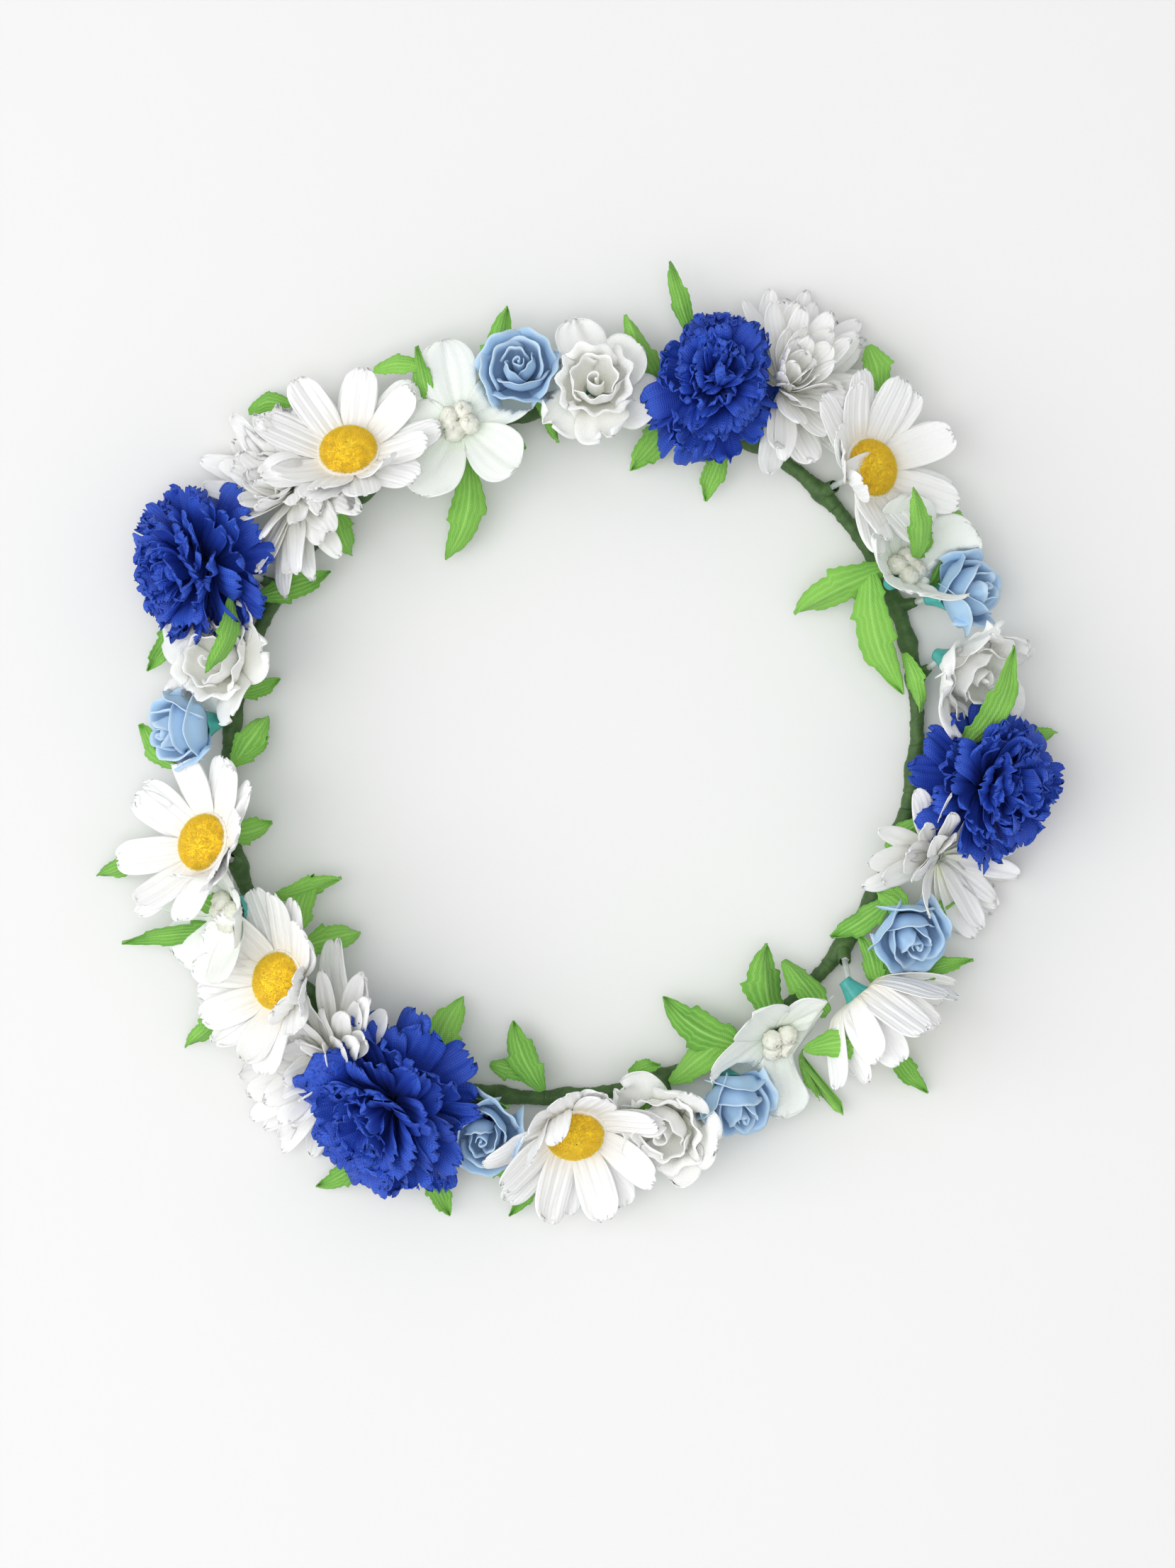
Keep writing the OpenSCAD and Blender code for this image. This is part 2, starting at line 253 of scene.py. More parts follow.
# A petal's half width along its length: a sine rise from the root's share to full at the peak,
# then a superellipse down to the tip, never narrower there than the blunt share.
def outline(v, rootShare, peak, tip, blunt):
    rise = rootShare + (1 - rootShare) * np.sin(np.pi / 2 * np.clip(v / peak, 0, 1))
    fall = np.sqrt(np.clip(1 - np.clip((v - peak) / (1 - peak), 0, 1) ** tip, 0, 1))
    return np.where(v < peak, rise, blunt + (1 - blunt) * fall)


# Petals in a ring. Each follows a line that lies flat under the heart, then climbs and keeps turning
# by the curl; across it, the sheet is cupped by the square of the side, ribbed and ruffled by sines,
# and its tip is frayed by a sum of sines in length.
def petalRing(azimuth, length, width, rise, curl, spec):
    rows, columns = spec["grid"]
    count = len(azimuth)
    v = (1 - (1 - np.linspace(0, 1, rows)) ** 1.5)[None, :, None]      # rows crowd towards the tip
    u = np.linspace(-1, 1, columns)[None, None, :]
    azimuth, length, width, rise, curl = (np.asarray(x, float).reshape(-1, 1, 1) * np.ones((count, 1, 1))
                                          for x in (azimuth, length, width, rise, curl))
    phase = dice.uniform(0, 2 * np.pi, (count, 4, 1, 1))
    climb = np.clip((spec["rootRadius"] + v * length - spec.get("flatTo", 0)) / 2.5, 0, 1)
    late = np.clip((v - 0.7) / 0.3, 0, 1) ** 2
    slope = np.radians(rise * climb + curl * v * climb + spec.get("tipCurl", 0) * late * np.sin(phase[:, 3]))
    step = length * np.diff(v, axis=1, prepend=0)
    reach = np.cumsum(np.cos(slope) * step, axis=1)
    lift = np.cumsum(np.sin(slope) * step, axis=1)
    half = width / 2 * outline(v, spec["rootShare"], spec["peak"], spec["tip"], spec["blunt"])
    teeth = np.abs(np.sin(4.5 * u + phase[:, 0])) + 0.6 * np.abs(np.sin(11 * u + phase[:, 1])) - 0.8
    fray = spec["fray"] * v ** 6 * teeth
    normal = spec["cup"] * half * u * u * np.sin(phase[:, 3] * 0.5 + 0.8)
    fold = np.abs(np.sin(spec["ribs"] * np.pi * u / 2 + phase[:, 0] * 0.15))
    normal = normal + spec["rib"] * fold * np.sin(np.pi * v * 0.9)
    normal = normal - spec["groove"] * np.exp(-(u / 0.14) ** 2) * np.sin(np.pi * np.clip(v * 1.1, 0, 1))
    wave = np.sin(spec["waves"] * np.pi * u + phase[:, 2]) + 0.4 * np.sin(2.3 * spec["waves"] * np.pi * u + phase[:, 1])
    normal = normal + spec["ruffle"] * v ** 2 * wave * (0.6 + 0.4 * np.sin(phase[:, 3]))
    normal = normal + spec["ripple"] * np.sin(8 * v + 2 * u + phase[:, 0])
    side = u * half + spec["sway"] * v * v * np.sin(phase[:, 1])
    turn = np.radians(spec["twist"]) * v * np.sin(phase[:, 2])
    side, normal = side * np.cos(turn) - normal * np.sin(turn), side * np.sin(turn) + normal * np.cos(turn)
    reach = spec["rootRadius"] + reach + fray * np.cos(slope) - normal * np.sin(slope)
    lift = spec["rootHeight"] + lift + fray * np.sin(slope) + normal * np.cos(slope)
    x = reach * np.cos(azimuth) - side * np.sin(azimuth)
    y = reach * np.sin(azimuth) + side * np.cos(azimuth)
    squeeze = spec.get("squeeze", (1, 1))
    flat = np.stack([u * half, v * length + 0 * u], -1)
    return {"points": np.stack([x * squeeze[0], y * squeeze[1], lift + 0 * x], -1),
            "map": flat + around(0, 20, count)[:, None, None, None],
            "along": v[0, :, 0], "tone": dice.uniform(0, 1, count)}


# Petals that wrap a bud. The radius swells from the base to the bulge and on to the top, the rim
# turns out as a square of what is left, the sides fall off as a power, and one side overlaps the next.
def petalWrap(azimuth, spread, spec):
    rows, columns = spec.get("grid", (13, 15))
    count = len(azimuth)
    v = np.linspace(0, 1, rows)[None, :, None]
    u = np.linspace(-1, 1, columns)[None, None, :]
    azimuth = np.asarray(azimuth, float).reshape(-1, 1, 1)
    phase = dice.uniform(0, 2 * np.pi, (count, 1, 1))
    swell = np.sin(np.pi / 2 * np.clip(v / spec["bulgeAt"], 0, 1))
    radius = spec["base"] + (spec["bulge"] - spec["base"]) * swell
    late = np.clip((v - spec["bulgeAt"]) / (1 - spec["bulgeAt"]), 0, 1)
    radius = radius + (spec["top"] - spec["bulge"]) * late * late * (3 - 2 * late)
    rim = np.clip((v - spec.get("rimAt", 0.75)) / (1 - spec.get("rimAt", 0.75)), 0, 1) ** 2
    edge = np.abs(u) ** spec.get("edgePower", 2.4)
    radius = radius + spec["lip"] * rim * (0.4 + 0.6 * edge) + spec["overlap"] * u
    radius = radius + spec.get("ruffle", 0.2) * v * v * np.sin(spec.get("waves", 3) * u * np.pi + phase)
    tall = spec["height"] * (1 - spec["shoulder"] * edge)
    lift = spec["rootHeight"] + tall * v - spec["droop"] * rim * (0.5 + 0.5 * edge)
    lift = lift + spec.get("ruffle", 0.2) * v * np.cos(3 * u + phase)
    angle = azimuth + np.radians(spread) * u * (0.75 + 0.25 * v)
    points = np.stack([radius * np.cos(angle), radius * np.sin(angle), lift + 0 * angle], -1)
    flat = np.stack([u * spec["bulge"] * np.radians(spread) + 0 * v, v * spec["height"] + 0 * u], -1)
    return {"points": points, "map": np.broadcast_to(flat, (count,) + flat.shape[1:]) + around(0, 20, count)[:, None, None, None],
            "along": v[0, :, 0], "tone": dice.uniform(0, 1, count)}


# The rolled heart of a rose: a strip on a spiral whose radius grows evenly with the angle.
def rolledHeart(turns, inner, outer, low, high, lean=0.0):
    columns, rows = 60, 7
    t = np.linspace(0, 1, columns)[None, None, :]
    v = np.linspace(0, 1, rows)[None, :, None]
    angle = t * turns * 2 * np.pi
    radius = inner + (outer - inner) * t + lean * v * v + 0.12 * np.sin(3 * angle)
    lift = low + (high - low) * v + 0.35 * v * np.sin(2.3 * angle) - 1.2 * v * t
    points = np.stack([radius * np.cos(angle), radius * np.sin(angle), lift + 0 * angle], -1)
    flat = np.stack([angle * outer * 0.5 + 0 * v, lift + 0 * t], -1)
    return {"points": points, "map": flat, "along": v[0, :, 0], "tone": np.array([0.5])}


# A bumpy ball or dome: a sphere's angles, with the radius changed by a product of sines.
def bumpyBall(middle, radius, flatten=1.0, bumps=9, depth=0.12):
    rows, columns = 13, 22
    polar = np.linspace(0.02, np.pi - 0.02, rows)[None, :, None]
    turn = np.arange(columns)[None, None, :] * 2 * np.pi / columns
    phase = dice.uniform(0, 6, (len(middle), 1, 1))
    size = radius * (1 + depth * np.sin(bumps * polar + phase) * np.sin(bumps * turn * 0.9 + 2 * phase)
                     + depth * 0.5 * np.sin(bumps * 1.7 * polar + 3 * turn))
    points = np.stack([size * np.sin(polar) * np.cos(turn), size * np.sin(polar) * np.sin(turn),
                       size * np.cos(polar) * flatten], -1) + np.asarray(middle)[:, None, None, :]
    flat = np.stack([turn * radius + 0 * polar, polar * radius + 0 * turn], -1)
    return {"points": points, "map": np.broadcast_to(flat, points.shape[:-1] + (2,)), "wrap": True, "flip": True,
            "along": np.linspace(0, 1, rows), "tone": dice.uniform(0, 1, len(middle))}


# ---------------------------------------------------------------- materials

# A small kit for node materials: add a node, join sockets, and the usual sums.
class NodeSheet:
    def __init__(self, name):
        self.material = bpy.data.materials.new(name)
        self.material.use_nodes = True
        self.tree = self.material.node_tree
        self.shader = self.tree.nodes["Principled BSDF"]

    def add(self, kind, **settings):
        node = self.tree.nodes.new("ShaderNode" + kind)
        for key, value in settings.items():
            setattr(node, key, value)
        return node

    def join(self, output, socket):
        self.tree.links.new(output, socket)

    def sum(self, operation, first, second=None, clamp=False):
        node = self.add("Math", operation=operation, use_clamp=clamp)
        for socket, value in zip(node.inputs, (first, second)):
            if value is None:
                continue
            if hasattr(value, "is_linked"):
                self.join(value, socket)
            else:
                socket.default_value = value
        return node.outputs[0]

    def field(self, name):
        return self.add("Attribute", attribute_name=name).outputs["Fac"]

    def ramp(self, factor, stops):
        node = self.add("ValToRGB")
        while len(node.color_ramp.elements) < len(stops):
            node.color_ramp.elements.new(0.5)
        for element, (place, colour) in zip(node.color_ramp.elements, stops):
            element.position = place
            element.color = (*colour, 1)
        self.join(factor, node.inputs["Fac"])
        return node.outputs["Color"]

    def blend(self, factor, first, second, mode="MIX"):
        node = self.add("Mix", data_type="RGBA", blend_type=mode)
        for socket, value in ((node.inputs["Factor"], factor), (node.inputs[6], first), (node.inputs[7], second)):
            if hasattr(value, "is_linked"):
                self.join(value, socket)
            elif isinstance(value, tuple):
                socket.default_value = (*value, 1)
            else:
                socket.default_value = value
        return node.outputs[2]

    # Height from a plain weave: two sets of threads, one in each direction of the cloth map
    def weave(self, pitch, turn=0.0):
        place = self.add("UVMap", uv_map="clothMap").outputs["UV"]
        mapping = self.add("Mapping")
        mapping.inputs["Rotation"].default_value = (0, 0, math.radians(turn))
        self.join(place, mapping.inputs["Vector"])
        threads = []
        for way in ("X", "Y"):
            wave = self.add("TexWave", wave_type="BANDS", bands_direction=way)
            wave.inputs["Scale"].default_value = 0.314 / pitch
            wave.inputs["Distortion"].default_value = 0.6
            wave.inputs["Detail"].default_value = 1
            wave.inputs["Detail Scale"].default_value = 0.4
            self.join(mapping.outputs["Vector"], wave.inputs["Vector"])
            threads.append(wave.outputs["Fac"])
        return self.sum("MAXIMUM", threads[0], threads[1]), threads

    # Height from ribs pressed along a petal, wandering a little
    def ribs(self, pitch):
        wave = self.add("TexWave", wave_type="BANDS", bands_direction="X")
        wave.inputs["Scale"].default_value = 0.314 / pitch
        wave.inputs["Distortion"].default_value = 1.2
        wave.inputs["Detail"].default_value = 1
        wave.inputs["Detail Scale"].default_value = 0.15
        self.join(self.add("UVMap", uv_map="clothMap").outputs["UV"], wave.inputs["Vector"])
        return wave.outputs["Fac"]

    def noise(self, scale, detail=3, rough=0.5):
        node = self.add("TexNoise")
        node.inputs["Scale"].default_value = scale
        node.inputs["Detail"].default_value = detail
        node.inputs["Roughness"].default_value = rough
        self.join(self.add("TexCoord").outputs["Object"], node.inputs["Vector"])
        return node.outputs["Fac"]

    def bump(self, height, strength, distance):
        node = self.add("Bump")
        node.inputs["Strength"].default_value = strength
        node.inputs["Distance"].default_value = distance
        self.join(height, node.inputs["Height"])
        self.join(node.outputs["Normal"], self.shader.inputs["Normal"])


# Woven cloth: a colour ramp along the petal, shifted by the petal's own tone and by slow noise,
# with painted shade that darkens it between the threads, and thread bumps.
def clothMaterial(name, spec):
    sheet = NodeSheet(name)
    along = sheet.field("along")
    shift = sheet.sum("MULTIPLY", sheet.sum("SUBTRACT", sheet.noise(140, 3), 0.5), spec.get("mottle", 0.5))
    base = sheet.ramp(sheet.sum("ADD", along, shift, clamp=True), spec["stops"])
    tone = sheet.sum("MULTIPLY", sheet.field("tone"), spec.get("toneShare", 0.5))
    base = sheet.blend(tone, base, spec["toneColour"])
    height, threads = sheet.weave(spec["pitch"], spec.get("turn", 0))
    # painted shade between the threads: where the weave is low, the colour is mixed towards the darker thread-shade
    # colour
    gap = sheet.sum("MULTIPLY", sheet.sum("SUBTRACT", 1.0, height), spec.get("threadShadeShare", 0.5))
    base = sheet.blend(gap, base, spec["threadShadeColour"])
    if spec.get("ribPitch"):
        height = sheet.sum("ADD", sheet.sum("MULTIPLY", height, 0.35), sheet.ribs(spec["ribPitch"]))
    sheet.join(base, sheet.shader.inputs["Base Color"])
    sheet.shader.inputs["Roughness"].default_value = spec.get("roughness", 0.8)
    sheet.shader.inputs["Specular IOR Level"].default_value = spec.get("specular", 0.25)
    sheet.shader.inputs["Sheen Weight"].default_value = spec.get("sheen", 0.15)
    sheet.shader.inputs["Sheen Roughness"].default_value = 0.5
    if spec.get("glow"):
        sheet.shader.inputs["Subsurface Weight"].default_value = spec["glow"]
        sheet.shader.inputs["Subsurface Radius"].default_value = (1.0, 1.0, 0.9)
        sheet.shader.inputs["Subsurface Scale"].default_value = 0.0007
    crease = sheet.sum("MULTIPLY", sheet.noise(420, 2), spec.get("crease", 0.6))
    sheet.bump(sheet.sum("ADD", height, crease), spec.get("bump", 0.35), 0.00018)
    return sheet.material


# Each cloth's thread-shade colour and share set the painted shade between its threads.
cloths = {
    "daisyCloth": {"stops": [(0.0, (0.95, 0.78, 0.48)), (0.3, (0.97, 0.94, 0.86)), (0.5, (0.985, 0.985, 0.97)),
                             (1.0, (0.99, 0.99, 0.985))],
                   "toneColour": (0.975, 0.975, 0.96), "pitch": 0.42, "threadShadeShare": 0.12,
                   "threadShadeColour": (0.90, 0.90, 0.87), "bump": 0.5, "ribPitch": 1.1, "glow": 0.3},
    "mumCloth": {"stops": [(0.0, (0.92, 0.95, 0.66)), (0.3, (0.97, 0.97, 0.86)), (0.7, (0.985, 0.985, 0.95)),
                           (1.0, (0.99, 0.99, 0.975))],
                 "toneColour": (0.98, 0.975, 0.93), "pitch": 0.4, "threadShadeShare": 0.12,
                 "threadShadeColour": (0.92, 0.91, 0.83), "bump": 0.45, "ribPitch": 1.3, "glow": 0.65},
    "blossomCloth": {"stops": [(0.0, (0.80, 0.92, 0.72)), (0.3, (0.91, 0.96, 0.88)), (1.0, (0.945, 0.97, 0.925))],
                     "toneColour": (0.90, 0.96, 0.90), "pitch": 0.5, "threadShadeShare": 0.25,
                     "threadShadeColour": (0.76, 0.83, 0.75), "bump": 0.35, "glow": 0.4},
    "whiteRoseCloth": {"stops": [(0.0, (0.93, 0.96, 0.76)), (0.4, (0.985, 0.985, 0.92)), (1.0, (0.99, 0.99, 0.965))],
                       "toneColour": (0.97, 0.98, 0.90), "pitch": 0.45, "threadShadeShare": 0.12,
                       "threadShadeColour": (0.88, 0.90, 0.80), "bump": 0.4, "glow": 0.7},
    "blueRoseCloth": {"stops": [(0.0, (0.24, 0.42, 0.64)), (0.4, (0.40, 0.59, 0.82)), (0.88, (0.46, 0.65, 0.86)),
                                (1.0, (0.62, 0.77, 0.92))],
                      "toneColour": (0.38, 0.58, 0.82), "pitch": 0.38, "threadShadeShare": 0.2,
                      "threadShadeColour": (0.32, 0.50, 0.74), "bump": 0.2, "roughness": 0.9, "glow": 0.3},
    "cornflowerCloth": {"stops": [(0.0, (0.006, 0.08, 0.20)), (0.22, (0.008, 0.035, 0.28)), (0.7, (0.016, 0.062, 0.48)),
                                  (1.0, (0.040, 0.125, 0.68))],
                        "toneColour": (0.012, 0.045, 0.38), "pitch": 0.6, "threadShadeShare": 0.5,
                        "threadShadeColour": (0.004, 0.012, 0.18), "bump": 0.6, "roughness": 0.5, "specular": 0.3,
                        "sheen": 0.02},
}
clothMaterials = {name: clothMaterial(name, spec) for name, spec in cloths.items()}


# Leaf cloth: two greens in soft patches, painted shade between the threads of a coarse weave, and pale veins from the
# leaf's own map.
def leafMaterial(name, dark, light, vein):
    sheet = NodeSheet(name)
    patch = sheet.sum("ADD", sheet.sum("MULTIPLY", sheet.noise(120, 3), 0.9),
                      sheet.sum("MULTIPLY", sheet.field("tone"), 0.35), clamp=True)
    base = sheet.ramp(patch, [(0.35, dark), (0.75, light)])
    height, threads = sheet.weave(0.5, 25)
    # painted shade between the threads: where the weave is low, the greens are mixed towards a darker green
    gap = sheet.sum("MULTIPLY", sheet.sum("SUBTRACT", 1.0, height), 0.45)
    base = sheet.blend(gap, base, tuple(0.55 * c for c in dark))
    base = sheet.blend(sheet.field("vein"), base, vein)
    sheet.join(base, sheet.shader.inputs["Base Color"])
    sheet.shader.inputs["Roughness"].default_value = 0.7
    sheet.shader.inputs["Specular IOR Level"].default_value = 0.3
    sheet.shader.inputs["Sheen Weight"].default_value = 0.15
    sheet.bump(height, 0.4, 0.0002)
    return sheet.material


leafCloth = leafMaterial("leafCloth", (0.13, 0.38, 0.045), (0.25, 0.58, 0.085), (0.36, 0.68, 0.17))


# Floral tape: waxed crepe, two mossy greens streaked along the winding, with fine wrinkles.
def tapeMaterial():
    sheet = NodeSheet("floralTape")
    patch = sheet.noise(260, 5, 0.6)
    base = sheet.ramp(patch, [(0.3, (0.035, 0.085, 0.022)), (0.7, (0.085, 0.17, 0.045))])
    sheet.join(base, sheet.shader.inputs["Base Color"])
    sheet.shader.inputs["Roughness"].default_value = 0.55
    sheet.shader.inputs["Specular IOR Level"].default_value = 0.4
    sheet.bump(sheet.noise(1500, 4), 0.5, 0.0002)
    return sheet.material


# Clear or tinted moulded plastic with slightly uneven gloss.
def plasticMaterial(name, colour, alpha, roughness):
    sheet = NodeSheet(name)
    base = sheet.ramp(sheet.noise(300, 2), [(0.3, tuple(0.8 * c for c in colour)), (0.7, colour)])
    sheet.join(base, sheet.shader.inputs["Base Color"])
    sheet.shader.inputs["Alpha"].default_value = alpha
    sheet.shader.inputs["Roughness"].default_value = roughness
    sheet.bump(sheet.noise(900, 2), 0.15, 0.0002)
    return sheet.material


# Flock: golden fibres, with painted shade that darkens them between each other and towards the rim.
def flockMaterial():
    sheet = NodeSheet("yellowFlock")
    # painted shade: this ramp along each fibre and down the dome darkens the fibre roots and the dome's rim
    base = sheet.ramp(sheet.field("along"), [(0.0, (0.96, 0.60, 0.012)), (0.6, (0.99, 0.70, 0.018)),
                                             (1.0, (1.0, 0.80, 0.04))])
    base = sheet.blend(sheet.sum("MULTIPLY", sheet.field("tone"), 0.3), base, (0.98, 0.62, 0.015))
    base = sheet.blend(sheet.sum("MULTIPLY", sheet.noise(900, 2), 0.35), base, (1.0, 0.84, 0.09))
    sheet.join(base, sheet.shader.inputs["Base Color"])
    sheet.shader.inputs["Roughness"].default_value = 0.95
    sheet.shader.inputs["Specular IOR Level"].default_value = 0.1
    sheet.shader.inputs["Sheen Weight"].default_value = 0.3
    sheet.bump(sheet.noise(1800, 2), 0.3, 0.0002)
    return sheet.material


# Grainy cream pip, or drawn steel wire.
def grainMaterial(name, dark, light, metal, roughness, scale):
    sheet = NodeSheet(name)
    base = sheet.ramp(sheet.noise(scale, 4), [(0.35, dark), (0.65, light)])
    sheet.join(base, sheet.shader.inputs["Base Color"])
    sheet.shader.inputs["Metallic"].default_value = metal
    sheet.shader.inputs["Roughness"].default_value = roughness
    sheet.bump(sheet.noise(scale * 2, 3), 0.6, 0.0003)
    return sheet.material


floralTape = tapeMaterial()
clearStem = plasticMaterial("clearStem", (0.80, 0.86, 0.82), 0.5, 0.2)
tealCalyx = plasticMaterial("tealCalyx", (0.10, 0.55, 0.50), 0.85, 0.25)
yellowFlock = flockMaterial()
creamPip = grainMaterial("creamPip", (0.78, 0.78, 0.66), (0.92, 0.92, 0.84), 0.0, 0.8, 700)
steelWire = grainMaterial("steelWire", (0.40, 0.41, 0.42), (0.60, 0.61, 0.62), 1.0, 0.35, 900)
print("made the materials")


# ---------------------------------------------------------------- daisies

daisy = {"petals": (9, 8), "length": 21.5, "width": 9.6, "rise": 12, "curl": 14, "upLift": 20,
         "eyeRadius": 7.0, "eyeHeight": 3.9, "fibres": 3200, "fibreLength": 0.7}
# Petals that fold over the eye: which way from the lean, how far to each side, how much they turn
daisyFolds = {1: [(8, 26, 80)], 2: [], 3: [(45, 34, 60)], 4: [(-35, 30, 18)], 5: [(-60, 30, 25)], 6: []}
# How strongly each daisy is cupped on top of the usual
daisyCup = {1: 2, 2: 20, 3: 0, 4: 4, 5: 0, 6: -2}
daisyCut = {"rootRadius": 2.6, "rootShare": 0.42, "peak": 0.66, "tip": 3.0, "blunt": 0.3, "cup": 0.06,
            "rib": 0.34, "ribs": 4, "groove": 0.25, "ruffle": 0.4, "waves": 1.3, "fray": 0.9, "ripple": 0.12,
            "sway": 1.2, "twist": 14, "flatTo": 7.4, "tipCurl": 24, "grid": (24, 21)}


def angleGap(a, b):
    return (a - b + 180) % 360 - 180


def daisyPetals(number):
    owner = f"daisy_petals_{number}"
    spin = dice.uniform(0, 360)
    blocks = []
    for layer, ring in enumerate(daisy["petals"]):
        degrees = spin + layer * 21 + np.arange(ring) * 360 / ring + around(0, 5, ring)
        rise = around(daisy["rise"], 2.5, ring) + layer * 9 + daisyCup[number] * 0.7
        rise = rise + daisy["upLift"] * np.clip(np.cos(np.radians(degrees)), 0, 1) ** 2
        curl = around(daisy["curl"], 9, ring) + daisyCup[number] * 0.7
        length = around(daisy["length"], 1.2, ring) * (1.12 if number == 2 else 1)
        for way, span, amount in daisyFolds[number]:
            gap = angleGap(degrees, way)
            near = np.clip(1.4 - 1.4 * np.abs(gap) / span, 0, 1) * (0.25 + 0.75 * layer)
            degrees = degrees - gap * near * 0.6
            curl = curl + amount * near
            rise = rise + amount * near * 0.8
            length = length * (1 - 0.22 * near)
        block = petalRing(np.radians(degrees), length, around(daisy["width"], 0.8, ring),
                          rise, curl, dict(daisyCut, rootHeight=-1.0 + 0.5 * layer))
        block["points"] = placed(block["points"], owner)
        blocks.append(block)
    out = np.array([0.3, 3.0, 7.9, 8.1, 7.9, 3.0, 0.3])[None, :, None]     # the cloth floor under the eye
    turn = np.arange(40)[None, None, :] * np.pi / 20
    high = np.array([-0.25, -0.25, 0.25, 0.1, -0.3, -0.65, -0.65])[None, :, None]
    floor = np.stack([out * np.cos(turn), out * np.sin(turn), high + 0 * turn], -1)
    blocks.append({"points": placed(floor, owner), "map": floor[..., :2], "wrap": True,
                   "along": np.full(7, 0.2), "tone": np.array([0.5])})
    return gridPiece(f"daisyPetals_{number}", blocks, clothMaterials["daisyCloth"], f"daisy_head_{number}",
                     [owner], thickness=0.22)


# The eye: a dome with noise, and short pointed fibres standing square to it.
def daisyEye(number):
    owner = f"daisy_petals_{number}"
    radius, high = daisy["eyeRadius"], daisy["eyeHeight"]
    polar = np.linspace(0.03, np.pi / 2, 14)[None, :, None]
    turn = np.arange(36)[None, None, :] * np.pi / 18
    swell = 1 + 0.03 * np.sin(7 * turn + 5 * polar)
    dome = np.stack([radius * swell * np.sin(polar) * np.cos(turn), radius * swell * np.sin(polar) * np.sin(turn),
                     high * np.cos(polar) ** 0.9 + 0 * turn], -1)
    # along falls from the dome's top to its rim and rises from each fibre's foot to its tip. It places the flock's
    # painted shade.
    blocks = [{"points": placed(dome, owner), "map": dome[..., :2], "wrap": True, "flip": True,
               "along": np.linspace(1, 0, 14), "tone": np.array([1.0])}]
    count = daisy["fibres"]
    lean = np.arccos(dice.uniform(0, 1, count))
    way = dice.uniform(0, 2 * np.pi, count)
    foot = np.stack([radius * np.sin(lean) * np.cos(way), radius * np.sin(lean) * np.sin(way),
                     high * np.cos(lean) ** 0.9], -1)
    out = np.stack([np.sin(lean) * np.cos(way) / radius, np.sin(lean) * np.sin(way) / radius,
                    np.cos(lean) / high], -1)
    out = out / np.linalg.norm(out, axis=1)[:, None] + dice.normal(0, 0.35, (count, 3))
    out[:, 2] = np.maximum(out[:, 2], 0.15)
    out = out / np.linalg.norm(out, axis=1)[:, None]
    across = np.cross(out, dice.normal(0, 1, (count, 3)))
    across = across / np.linalg.norm(across, axis=1)[:, None]
    third = np.cross(out, across)
    corner = np.arange(3) * 2 * np.pi / 3
    ring = (across[:, None, :] * np.cos(corner)[None, :, None] + third[:, None, :] * np.sin(corner)[None, :, None])
    size = dice.uniform(0.7, 1.2, count)[:, None, None]
    low = foot[:, None, :] + ring * 0.11
    top = foot[:, None, :] + ring * 0.03 + out[:, None, :] * daisy["fibreLength"] * size
    fibres = np.stack([low, top], 1)
    blocks.append({"points": placed(fibres, owner), "map": fibres[..., :2], "wrap": True,
                   "along": np.array([0.3, 1.0]), "tone": dice.uniform(0, 1, count)})
    return gridPiece(f"daisyEye_{number}", blocks, yellowFlock, f"daisy_head_{number}",
                     [f"daisy_eye_{number}"])


# A calyx: rings of radius that flare from the stem to the petals, with five lobes at the rim.
calyx = {"foot": 1.5, "rim": 3.8, "height": 6.0, "lobes": 5}


def calyxBlock(owner):
    v = np.linspace(0, 1, 12)[None, :, None]
    turn = np.arange(40)[None, None, :] * np.pi / 20
    radius = calyx["foot"] + (calyx["rim"] - calyx["foot"]) * v ** 1.4
    radius = radius * (1 + 0.10 * v * np.cos(calyx["lobes"] * turn) + 0.03 * np.cos(15 * turn))
    lift = -calyx["height"] - 0.2 + calyx["height"] * (v + 0.05 * v * np.cos(calyx["lobes"] * turn))
    radius = np.concatenate([0 * radius[:, :1] + 0.82, radius], 1)
    lift = np.concatenate([lift[:, :1], lift], 1)
    points = np.stack([radius * np.cos(turn), radius * np.sin(turn), lift], -1)
    return {"points": placed(points, owner), "map": points[..., :2], "wrap": True,
            "along": np.linspace(0, 1, 13), "tone": np.array([0.5])}


for number in range(1, 7):
    daisyPetals(number)
    daisyEye(number)
    gridPiece(f"daisyCalyx_{number}", [calyxBlock(f"daisy_petals_{number}")], tealCalyx, f"daisy_head_{number}",
              [f"daisy_calyx_{number}"], thickness=0.4)
print("made the daisies")

boundOwners = [name for name in heads if not name.startswith("daisy")]
gridPiece("headCalyxes", [calyxBlock(name) for name in boundOwners], tealCalyx, bodyRoot,
          ["head_calyxes"], thickness=0.4)


# ---------------------------------------------------------------- cornflowers

# Rings from the outside in: petals, rise, curl, length, root radius and root height
cornflower = {"width": 8.8, "rings": [(11, -2, -26, 17.5, 1.8, 0.6), (13, 12, -18, 17, 2.0, 1.8),
                                      (14, 27, -16, 16.5, 2.0, 2.8), (14, 42, -12, 16, 1.8, 3.6),
                                      (13, 56, -10, 15.5, 1.6, 4.2), (11, 68, -8, 14.5, 1.2, 4.8),
                                      (8, 80, -6, 13.5, 0.6, 5.2)]}


